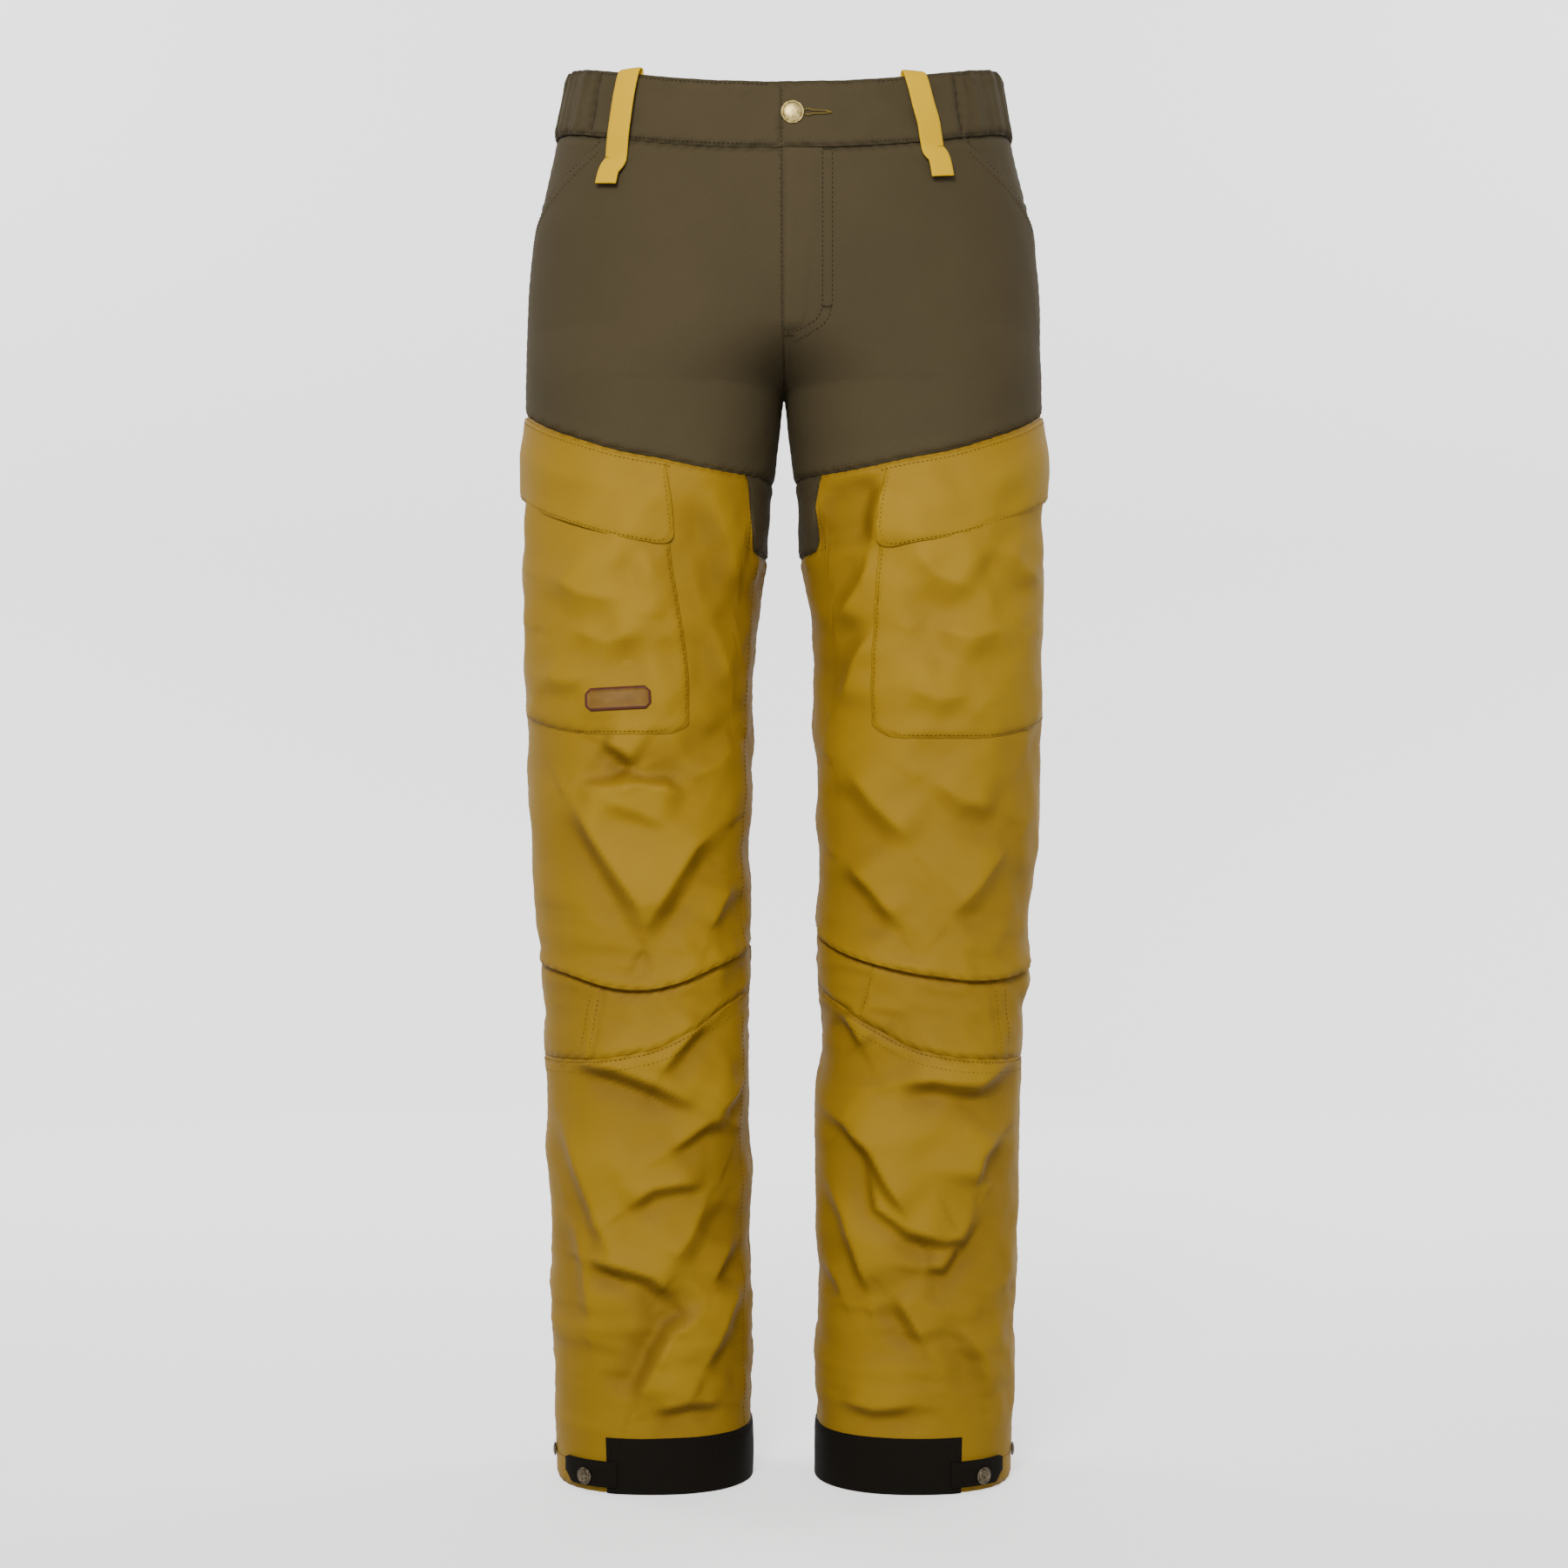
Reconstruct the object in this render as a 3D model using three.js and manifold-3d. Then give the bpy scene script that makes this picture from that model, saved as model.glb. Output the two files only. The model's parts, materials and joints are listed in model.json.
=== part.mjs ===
// Work trousers: a dark stretch seat and front over hard-wearing legs with shaped knees, cargo
// pockets, an elasticated waist and kick panels at the hems. Millimetres, +Z up, the front faces -Y,
// the wearer's left is +X. The origin is the middle of the waist opening.
import * as THREE from 'three';
import { mergeVertices } from 'three/addons/utils/BufferGeometryUtils.js';
import Module from 'manifold-3d';

// Driving lengths, all measured up from the hem
const INSEAM = 811;
const RISE = 239;
const KNEE_HEIGHT = 385;
const WAIST_HEIGHT = INSEAM + RISE;
const BAND_DEPTH = 48;
const FRONT_DIP = 25;
const BACK_LIFT = 16;

// Half widths of the outline, and how far the leg's inner side stands from the middle
const WAIST_HALF_WIDTH = 160;
const BAND_HALF_WIDTH = 172;
const HIP_HALF_WIDTH = 192;
const THIGH_HALF_WIDTH = 194;
const KNEE_HALF_WIDTH = 180;
const HEM_HALF_WIDTH = 171;
const THIGH_INNER = 18;
const KNEE_INNER = 26;
const HEM_INNER = 24.5;

// Depths of the leg and hip, from the middle to the front and to the back
const WAIST_FRONT = 104;
const HIP_FRONT = 107;
const THIGH_FRONT = 98;
const KNEE_FRONT = 78;
const HEM_FRONT = 70;
const WAIST_BACK = 112;
const SEAT_BACK = 130;
const THIGH_BACK = 106;
const KNEE_BACK = 79;
const HEM_BACK = 72;
const ROUNDNESS = 2.3;

// Cloth, clearances and how finely the surface is cut up
const CLOTH = 1.5;
const LINING = 0.8;
const SEAM_GAP = 0.4;
const LAYER_GAP = 0.4;
const COLUMNS_PER_HALF = 12;

// Fly, waist button and buttonhole
const ZIP_LENGTH = 105;
const ZIP_TAPE_WIDTH = 13;
const TOOTH_WIDTH = 2.2;
const TOOTH_SLOT = 1.6;
const FLY_WIDTH = 33;
const BUTTON_DIAMETER = 17;
const BUTTON_X = 6;

// Belt loops
const LOOP_WIDTH = 18;
const LOOP_THICKNESS = 1.6;
const LOOP_STANDOFF = 6.5;
const LOOP_TAIL = 19;

// Hand pockets, cargo pockets and flaps
const HAND_POCKET_DEPTH = 150;
const FLAP_DEPTH = 62;
const FLAP_CLEARANCE = 0.5;
const FLAP_START = 0.4;
const FLAP_END = 1.03;
const CARGO_CAVITY = 7;
const PATCH_WIDTH = 47;
const PATCH_DEPTH = 17;

// Hem
const KICK_DEPTH = 41;
const TAB_DEPTH = 19;
const TAB_HEIGHT = 4.5;
const TAB_LENGTH = 33;
const SNAP_DIAMETER = 12.5;

const wasm = await Module();
wasm.setup();

const CLOTH_DARK = { color: 0x5c5037, roughness: 0.85, metalness: 0 };
const CLOTH_MUSTARD = { color: 0xa88830, roughness: 0.85, metalness: 0 };
const CLOTH_YELLOW = { color: 0xcdaf48, roughness: 0.85, metalness: 0 };
const CLOTH_BLACK = { color: 0x14110e, roughness: 0.8, metalness: 0 };
const POCKETING = { color: 0x3a3529, roughness: 0.9, metalness: 0 };
const LEATHER = { color: 0xa57832, roughness: 0.6, metalness: 0 };
const BRASS = { color: 0xb4a06e, roughness: 0.35, metalness: 1 };
const GUNMETAL = { color: 0x3c342a, roughness: 0.35, metalness: 1 };

const trousers = new THREE.Group();
const garment = new THREE.Group();
garment.position.z = -WAIST_HEIGHT;
trousers.add(garment);

// Adds a named mesh to the garment
function place(name, geometry, material) {
  const mesh = new THREE.Mesh(geometry, new THREE.MeshStandardMaterial(material));
  mesh.name = name;
  garment.add(mesh);
  return mesh;
}

// A smooth curve through points [position, value], held flat beyond its ends
function profile(points) {
  const slope = (i) => {
    const before = points[Math.max(i - 1, 0)];
    const after = points[Math.min(i + 1, points.length - 1)];
    return (after[1] - before[1]) / (after[0] - before[0]);
  };
  return (at) => {
    if (at <= points[0][0]) return points[0][1];
    if (at >= points[points.length - 1][0]) return points[points.length - 1][1];
    const i = points.findIndex((point, index) => index > 0 && at <= point[0]) - 1;
    const span = points[i + 1][0] - points[i][0];
    const t = (at - points[i][0]) / span;
    const t2 = t * t;
    const t3 = t2 * t;
    return (2 * t3 - 3 * t2 + 1) * points[i][1] + (t3 - 2 * t2 + t) * span * slope(i)
      + (3 * t2 - 2 * t3) * points[i + 1][1] + (t3 - t2) * span * slope(i + 1);
  };
}

// The outline, up from the hem
const BAND_FOOT = WAIST_HEIGHT - BAND_DEPTH + 3;
const halfWidth = profile([
  [0, HEM_HALF_WIDTH], [KNEE_HEIGHT - 65, KNEE_HALF_WIDTH], [KNEE_HEIGHT, KNEE_HALF_WIDTH + 4],
  [INSEAM * 0.66, THIGH_HALF_WIDTH - 1], [INSEAM, THIGH_HALF_WIDTH], [INSEAM + 110, HIP_HALF_WIDTH - 2],
  [BAND_FOOT, BAND_HALF_WIDTH], [WAIST_HEIGHT + BACK_LIFT, WAIST_HALF_WIDTH],
]);
const legInner = profile([
  [0, HEM_INNER], [KNEE_HEIGHT, KNEE_INNER], [INSEAM - 215, KNEE_INNER - 3],
  [INSEAM - 100, THIGH_INNER - 6], [INSEAM, 1],
]);
const frontDepth = profile([
  [0, HEM_FRONT], [KNEE_HEIGHT, KNEE_FRONT], [INSEAM - 60, THIGH_FRONT], [INSEAM + 80, HIP_FRONT],
  [BAND_FOOT, HIP_FRONT], [WAIST_HEIGHT + BACK_LIFT, WAIST_FRONT],
]);
const backDepth = profile([
  [0, HEM_BACK], [KNEE_HEIGHT, KNEE_BACK], [INSEAM - 60, THIGH_BACK], [INSEAM + 70, SEAT_BACK],
  [BAND_FOOT, WAIST_BACK + 5], [WAIST_HEIGHT + BACK_LIFT, WAIST_BACK],
]);

// Above the crotch the two legs' closed curves pass through each other and merge into one hip
const RISE_TO_BAND = BAND_FOOT - INSEAM;
function innerSide(height) {
  if (height <= INSEAM) return legInner(height);
  const up = Math.min((height - INSEAM) / RISE_TO_BAND, 1);
  return 1 - (1 + halfWidth(height)) * Math.sin(up * Math.PI / 2) ** 0.8;
}

// A point on the garment. side is -1 or 1; round goes 0 at the inseam or centre front, 1 at the
// outer side and 2 at the inseam or centre back; out moves it off the surface.
function onSurface(side, round, height, out = 0) {
  const outer = halfWidth(height);
  const inner = innerSide(height);
  const middle = (outer + inner) / 2;
  const half = (outer - inner) / 2;
  const start = inner < 0 ? Math.acos(Math.min((middle / half) ** (ROUNDNESS / 2), 1)) : 0;
  const angle = round <= 1 ? start + round * (Math.PI - start)
    : Math.PI + (round - 1) * (Math.PI - start);
  const depth = round <= 1 ? frontDepth(height) : backDepth(height);
  const power = 2 / ROUNDNESS;
  const cos = Math.cos(angle);
  const sin = Math.sin(angle);
  const x = middle - half * Math.sign(cos) * Math.abs(cos) ** power;
  const y = -depth * Math.sign(sin) * Math.abs(sin) ** power;
  // The outward direction of the curve |x/half|^n + |y/depth|^n = 1
  const nx = Math.sign(x - middle) * Math.abs((x - middle) / half) ** (ROUNDNESS - 1) / half;
  const ny = Math.sign(y) * Math.abs(y / depth) ** (ROUNDNESS - 1) / depth;
  const length = Math.hypot(nx, ny) || 1;
  return new THREE.Vector3(side * (x + out * nx / length), y + out * ny / length, height);
}

// How far round the front half a given distance from the middle lies
function roundAtX(x, height) {
  let low = 0;
  let high = 1;
  for (let step = 0; step < 40; step += 1) {
    const middle = (low + high) / 2;
    if (Math.abs(onSurface(1, middle, height).x) < x) low = middle;
    else high = middle;
  }
  return (low + high) / 2;
}

// Columns from one place round the leg to another, always at the same stations so that layers nest
function columnsBetween(side, from, to) {
  const margin = SEAM_GAP / 2 / 190;
  const stations = [from + margin];
  const first = Math.floor(from * COLUMNS_PER_HALF) + 1;
  for (let k = first; k / COLUMNS_PER_HALF < to; k += 1) {
    const at = k / COLUMNS_PER_HALF;
    if (at > from + 0.012 && at < to - 0.012) stations.push(at);
  }
  stations.push(to - margin);
  return stations.map((round) => ({ side, round }));
}

// Closes a grid of outer and inner points into one shell. Each grid is rows of equal length.
function shellGeometry(outer, inner) {
  const rows = outer.length;
  const columns = outer[0].length;
  const positions = [];
  for (const grid of [outer, inner]) {
    for (const row of grid) {
      for (const point of row) positions.push(point.x, point.y, point.z);
    }
  }
  const index = [];
  const at = (layer, row, column) => layer * rows * columns + row * columns + column;
  const quad = (a, b, c, d) => index.push(a, b, c, a, c, d);
  for (let row = 0; row < rows - 1; row += 1) {
    for (let column = 0; column < columns - 1; column += 1) {
      quad(at(0, row, column), at(0, row, column + 1), at(0, row + 1, column + 1), at(0, row + 1, column));
      quad(at(1, row, column), at(1, row + 1, column), at(1, row + 1, column + 1), at(1, row, column + 1));
    }
  }
  for (let column = 0; column < columns - 1; column += 1) {
    quad(at(1, 0, column), at(1, 0, column + 1), at(0, 0, column + 1), at(0, 0, column));
    const top = rows - 1;
    quad(at(0, top, column), at(0, top, column + 1), at(1, top, column + 1), at(1, top, column));
  }
  for (let row = 0; row < rows - 1; row += 1) {
    quad(at(0, row, 0), at(0, row + 1, 0), at(1, row + 1, 0), at(1, row, 0));
    const last = columns - 1;
    quad(at(1, row, last), at(1, row + 1, last), at(0, row + 1, last), at(0, row, last));
  }
  const geometry = new THREE.BufferGeometry();
  geometry.setAttribute('position', new THREE.Float32BufferAttribute(positions, 3));
  geometry.setIndex(index);
  return outwards(geometry);
}

// Turns a closed mesh's faces round where its volume comes out negative
function outwards(geometry) {
  const position = geometry.attributes.position;
  const index = Array.from(geometry.index.array);
  const corner = (i) => new THREE.Vector3().fromBufferAttribute(position, i);
  let volume = 0;
  for (let i = 0; i < index.length; i += 3) {
    volume += corner(index[i]).dot(corner(index[i + 1]).cross(corner(index[i + 2])));
  }
  if (volume < 0) {
    for (let i = 0; i < index.length; i += 3) {
      [index[i + 1], index[i + 2]] = [index[i + 2], index[i + 1]];
    }
  }
  geometry.setIndex(index);
  return geometry;
}

// A piece of cloth between two edges. bottom and top give the edge heights round the leg; levels are
// fixed heights in between, or fractions are shares of the way up. out is its outer face's place.
// lift(round, fraction) pushes it further off the surface.
function panelGeometry({
  columns, bottom, top, levels, fractions, steps = 1, out = 0, thick = CLOTH, lift = () => 0,
}) {
  const parts = fractions ?? Array.from({ length: steps + 1 }, (_, i) => i / steps);
  const heights = ({ side, round }) => {
    const low = bottom(round, side) + SEAM_GAP / 2;
    const high = top(round, side) - SEAM_GAP / 2;
    if (levels) return [low, ...levels, high];
    return parts.map((fraction) => low + (high - low) * fraction);
  };
  const columnHeights = columns.map(heights);
  const grid = (offset) => columnHeights[0].map((_, row) => columns.map(({ side, round }, i) => {
    const rise = lift(round, parts[row] ?? 0);
    return onSurface(side, round, columnHeights[i][row], offset + rise);
  }));
  return shellGeometry(grid(out), grid(out - thick));
}


const SIDES = [[-1, 'right'], [1, 'left']];
const UNDER = -CLOTH - LAYER_GAP;
const OVER = CLOTH + LAYER_GAP;

// Edges of the pieces, as heights round the leg
const waistTop = (round) => {
  const centre = round < 1 ? -FRONT_DIP : BACK_LIFT;
  return WAIST_HEIGHT + 3 + (centre - 3) * Math.cos(round * Math.PI / 2) ** 2;
};
const bandFoot = (round) => waistTop(round) - BAND_DEPTH;
const yokeSeam = profile([
  [0, INSEAM - 65], [0.33, INSEAM - 63], [0.54, INSEAM - 51], [0.7, INSEAM - 37],
  [1, INSEAM - 13], [1.4, INSEAM - 16], [1.8, INSEAM - 55], [2, INSEAM - 65],
]);
const kneeTopRight = profile([
  [0, KNEE_HEIGHT + 15], [0.25, KNEE_HEIGHT + 3], [0.5, KNEE_HEIGHT - 15], [0.75, KNEE_HEIGHT - 3],
  [1, KNEE_HEIGHT + 3], [1.5, KNEE_HEIGHT], [2, KNEE_HEIGHT + 15],
]);
const kneeTopLeft = profile([
  [0, KNEE_HEIGHT + 27], [0.3, KNEE_HEIGHT + 7], [0.6, KNEE_HEIGHT - 8], [0.8, KNEE_HEIGHT - 6],
  [1, KNEE_HEIGHT + 3], [1.5, KNEE_HEIGHT], [2, KNEE_HEIGHT + 27],
]);
const kneeTop = (round, side) => (side < 0 ? kneeTopRight(round) : kneeTopLeft(round));
const kneeFoot = profile([
  [0, KNEE_HEIGHT - 16], [0.2, KNEE_HEIGHT - 27], [0.35, KNEE_HEIGHT - 43],
  [0.5, KNEE_HEIGHT - 60], [0.65, KNEE_HEIGHT - 66], [1, KNEE_HEIGHT - 69],
]);

// The gusset is a dark diamond over the inseam below the crotch
const GUSSET_REACH = 2 / COLUMNS_PER_HALF;
const GUSSET_DROP = 121;
const GUSSET_EDGE = 2;
function gussetFoot(round) {
  const away = Math.min(round, 2 - round) / GUSSET_REACH;
  const foot = INSEAM - GUSSET_DROP;
  return foot + (yokeSeam(round) - GUSSET_EDGE - foot) * Math.min(away, 1) ** 1.3;
}
const thighTop = (round) => {
  const away = Math.min(round, 2 - round);
  return away < GUSSET_REACH + 0.01 ? gussetFoot(round) : yokeSeam(round);
};

// The front hand pocket's mouth, from the waistband down to the side seam
const MOUTH_START = 0.52;
const MOUTH_DROP = 78;
const mouthEdge = (round) => {
  const along = Math.max(round - MOUTH_START, 0) / (1 - MOUTH_START);
  return bandFoot(round) - MOUTH_DROP * along ** 0.9;
};

const ABOVE_CROTCH = [0, 5, 12, 22, 38, 60, 82, 104];
const RISE_LEVELS = ABOVE_CROTCH.map((up) => INSEAM + up);
const ELASTIC_START = { right: 0.58, left: 0.5 };
const ELASTIC_END = 1.42;
const KICK_FRONT_END = 0.625;
const KICK_BACK_END = 1.375;

// Columns with a step in them at a kick panel's end
function columnsRoundKick(side, from, to, end, outward) {
  const near = end + outward * 0.003;
  const far = end + outward * 0.009;
  const rounds = columnsBetween(side, from, to).map((column) => column.round);
  const kept = rounds.filter((round) => Math.abs(round - end) > 0.012);
  return [...kept, near, far].sort((a, b) => a - b).map((round) => ({ side, round }));
}
const hemFront = (round) => (round < KICK_FRONT_END + 0.006 ? KICK_DEPTH : 0);
const hemBack = (round) => (round > KICK_BACK_END - 0.006 ? KICK_DEPTH : 0);

function makeLegs(side, hand) {
  const front = columnsBetween(side, 0, 1);
  const back = columnsBetween(side, 1, 2);
  place(`front_panel_${hand}`, panelGeometry({
    columns: front, bottom: yokeSeam, top: mouthEdge, levels: RISE_LEVELS,
  }), CLOTH_DARK);
  place(`back_panel_${hand}`, panelGeometry({
    columns: back, bottom: yokeSeam, top: bandFoot, levels: [...RISE_LEVELS, INSEAM + 130, INSEAM + 155],
  }), CLOTH_DARK);
  place(`gusset_${hand}`, panelGeometry({
    columns: [...columnsBetween(side, 2 - GUSSET_REACH, 2), ...columnsBetween(side, 0, GUSSET_REACH)],
    bottom: gussetFoot, top: yokeSeam, steps: 2,
  }), CLOTH_DARK);
  place(`thigh_front_${hand}`, panelGeometry({
    columns: front, bottom: kneeTop, top: thighTop, steps: 7,
  }), CLOTH_MUSTARD);
  place(`thigh_back_${hand}`, panelGeometry({
    columns: back, bottom: kneeTop, top: thighTop, steps: 7,
  }), CLOTH_MUSTARD);
  place(`knee_panel_${hand}`, panelGeometry({
    columns: front, bottom: kneeFoot, top: kneeTop, steps: 1,
  }), CLOTH_MUSTARD);
  place(`shin_front_${hand}`, panelGeometry({
    columns: columnsRoundKick(side, 0, 1, KICK_FRONT_END, 1), bottom: hemFront, top: kneeFoot, steps: 5,
  }), CLOTH_MUSTARD);
  place(`shin_back_${hand}`, panelGeometry({
    columns: columnsRoundKick(side, 1, 2, KICK_BACK_END, -1), bottom: hemBack, top: kneeTop, steps: 6,
  }), CLOTH_MUSTARD);
  place(`kick_panel_${hand}`, panelGeometry({
    columns: [...columnsBetween(side, KICK_BACK_END, 2), ...columnsBetween(side, 0, KICK_FRONT_END)],
    bottom: () => 0, top: () => KICK_DEPTH,
  }), CLOTH_BLACK);
}

function makeWaistband() {
  const band = (columns) => panelGeometry({ columns, bottom: bandFoot, top: waistTop, steps: 2 });
  for (const [side, hand] of SIDES) {
    const start = ELASTIC_START[hand];
    place(`waistband_front_${hand}`, band(columnsBetween(side, 0, start)), CLOTH_DARK);
    place(`waistband_elastic_${hand}`, band(columnsBetween(side, start, ELASTIC_END)), CLOTH_DARK);
  }
  // The last station before the middle is the edge of a flat face across the centre back
  const half = (side) => columnsBetween(side, ELASTIC_END, 2).slice(0, -1);
  const across = [...half(-1), ...half(1).reverse()];
  place('waistband_back', band(across), CLOTH_DARK);
}

// The facing shows behind the slanted mouth; the bag hangs behind it with room for a hand
const BAG_ROOM = 9;
const BAG_START = 0.4;
const FACING_BELOW = 26;
function makeHandPocket(side, hand) {
  place(`pocket_facing_${hand}`, panelGeometry({
    columns: columnsBetween(side, MOUTH_START, 1),
    bottom: (round) => mouthEdge(round) - FACING_BELOW, top: bandFoot, steps: 2,
    out: UNDER - BAG_ROOM, thick: LINING,
  }), CLOTH_DARK);
  const inBag = (round) => Math.min((round - BAG_START) / 0.1, 1);
  place(`pocket_bag_${hand}`, panelGeometry({
    columns: columnsBetween(side, BAG_START, 1),
    bottom: (round) => bandFoot(round) - HAND_POCKET_DEPTH,
    top: (round) => Math.min(mouthEdge(round) - FACING_BELOW, bandFoot(round) - FACING_BELOW),
    fractions: [0, 0.1, 0.25, 0.4, 0.55, 0.7, 0.85, 1], out: UNDER - 0.5, thick: LINING,
    lift: (round, up) => -BAG_ROOM * inBag(round) * Math.min(up / 0.1, 1),
  }), POCKETING);
}

// Cargo pocket: a pouch on the outer thigh, open at the top under its flap
const CARGO_START = 0.42;
const CARGO_END = 0.96;
const CARGO_MOUTH = 34;
const flapTop = (round) => yokeSeam(round) - 1;
const cargoMouth = (round) => flapTop(round) - CARGO_MOUTH;
const CARGO_FOOT = INSEAM - 258;
const cargoFoot = (round) => CARGO_FOOT + 16 * Math.max((round - 0.7) / 0.3, 0);
function cargoLift(round, up) {
  const fromSide = Math.min(round - CARGO_START, CARGO_END - round) / 0.07;
  return CARGO_CAVITY * Math.min(Math.max(fromSide, 0), 1) * Math.min(up / 0.1, 1);
}
function flapLift(round, up) {
  const fromSide = Math.min((round - FLAP_START) / 0.08, (FLAP_END - round) / 0.12);
  return (CARGO_CAVITY + OVER) * Math.min(Math.max(fromSide, 0.25), 1) * Math.min((1 - up) / 0.28, 1);
}
function makeCargoPocket(side, hand) {
  place(`cargo_pocket_${hand}`, panelGeometry({
    columns: columnsBetween(side, CARGO_START, CARGO_END), bottom: cargoFoot, top: cargoMouth,
    fractions: [0, 0.1, 0.4, 0.7, 1], out: OVER, lift: cargoLift,
  }), CLOTH_MUSTARD);
  place(`cargo_flap_${hand}`, panelGeometry({
    columns: columnsBetween(side, FLAP_START, FLAP_END),
    bottom: (round) => flapTop(round) - FLAP_DEPTH, top: flapTop,
    fractions: [0, 0.4, 0.72, 1], out: OVER + FLAP_CLEARANCE, lift: flapLift,
  }), CLOTH_MUSTARD);
}

// A blank leather patch near the foot of the right pocket
const PATCH_X = 120;
const PATCH_HEIGHT = INSEAM - 229;
function makePatch() {
  const from = roundAtX(PATCH_X - PATCH_WIDTH / 2, PATCH_HEIGHT);
  const to = roundAtX(PATCH_X + PATCH_WIDTH / 2, PATCH_HEIGHT);
  place('label_patch', panelGeometry({
    columns: columnsBetween(-1, from, to),
    bottom: () => PATCH_HEIGHT - PATCH_DEPTH / 2, top: () => PATCH_HEIGHT + PATCH_DEPTH / 2,
    out: OVER + CARGO_CAVITY + LAYER_GAP + CLOTH,
  }), LEATHER);
}

// A ring of points revolved about the outward direction at a place on the garment
function placeRound(name, outline, side, round, height, out, material) {
  const turned = new THREE.LatheGeometry(outline.map(([r, up]) => new THREE.Vector2(r, up)), 20);
  const mesh = place(name, turned, material);
  const at = onSurface(side, round, height, out);
  const outward = onSurface(side, round, height, out + 1).sub(at);
  mesh.quaternion.setFromUnitVectors(new THREE.Vector3(0, 1, 0), outward);
  mesh.position.copy(at);
  return mesh;
}
const domeOutline = (radius, rise) => [
  [0, 0], [radius, 0], [radius, rise * 0.4], [radius * 0.85, rise * 0.8], [radius * 0.5, rise], [0, rise],
];

// Hem tabs that close on a snap, each with the snap's post inside the hem and a second post behind
const SNAP_X = 145;
const SNAP_HEIGHT = 11.5;
const TAB_X = 126;
const ADJUST_ROUND = 0.95;
const ADJUST_HEIGHT = 20;
const tabRound = roundAtX(TAB_X, SNAP_HEIGHT);
const tabEnd = roundAtX(TAB_X + TAB_LENGTH, SNAP_HEIGHT);
const snapRound = roundAtX(SNAP_X, SNAP_HEIGHT);
function makeHemTab(side, hand) {
  place(`cuff_tab_${hand}`, panelGeometry({
    columns: columnsBetween(side, tabRound, tabEnd),
    bottom: () => TAB_HEIGHT, top: () => TAB_HEIGHT + TAB_DEPTH, out: OVER,
  }), CLOTH_BLACK);
  const radius = SNAP_DIAMETER / 2;
  const seat = OVER + LAYER_GAP;
  placeRound(`snap_cap_${hand}`, domeOutline(radius, 2.6), side, snapRound, SNAP_HEIGHT, seat, GUNMETAL);
  const post = domeOutline(radius * 0.75, 1.2).map(([r, up]) => [r, up - 1.2]);
  placeRound(`snap_post_${hand}`, post, side, snapRound, SNAP_HEIGHT, UNDER - 0.3, GUNMETAL);
  placeRound(
    `adjust_stud_${hand}`, domeOutline(5, 3), side, ADJUST_ROUND, ADJUST_HEIGHT, LAYER_GAP, GUNMETAL,
  );
}

// Fly: a zip behind the front, on a plane of its own, with a facing over it and a shield behind
const ZIP_FOOT = INSEAM + 50;
const ZIP_FOOT_BEHIND = 17;
const ZIP_HEAD_BEHIND = 9;
const TAPE_THICKNESS = 0.6;
const TOOTH_DEPTH = 2.6;
const PLATE = 1;
const PLATE_GAP = 0.4;
const SLIDER_HEIGHT = 11;
const SLIDER_WIDTH = 9;
const NECK_WIDTH = 1;
const PULL_LENGTH = 24;
const PULL_WIDTH = 3;
const SHIELD_WIDTH = 40;
const SHIELD_FROM = -15.5;
const STOP_HEIGHT = 3;

function zipFrame() {
  const foot = onSurface(1, 0, ZIP_FOOT, 0).y + ZIP_FOOT_BEHIND;
  const head = onSurface(1, 0, ZIP_FOOT + ZIP_LENGTH, 0).y + ZIP_HEAD_BEHIND;
  const frame = new THREE.Group();
  frame.position.set(0, foot, ZIP_FOOT);
  frame.rotation.x = Math.atan2(foot - head, ZIP_LENGTH);
  garment.add(frame);
  return frame;
}

function boxAt(width, depth, height, x, y, z) {
  return new THREE.BoxGeometry(width, depth, height).translate(x, y, z + height / 2);
}

// A closed geometry as a solid that can be joined and cut, and back again
function toSolid(geometry) {
  const bare = geometry.clone();
  bare.deleteAttribute('normal');
  bare.deleteAttribute('uv');
  const merged = mergeVertices(bare, 1e-4);
  return new wasm.Manifold(new wasm.Mesh({
    numProp: 3,
    vertProperties: new Float32Array(merged.attributes.position.array),
    triVerts: new Uint32Array(merged.index.array),
  }));
}
function toGeometry(solid) {
  const mesh = solid.getMesh();
  const geometry = new THREE.BufferGeometry();
  geometry.setAttribute('position', new THREE.Float32BufferAttribute(mesh.vertProperties, 3));
  geometry.setIndex(Array.from(mesh.triVerts));
  return geometry;
}

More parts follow.
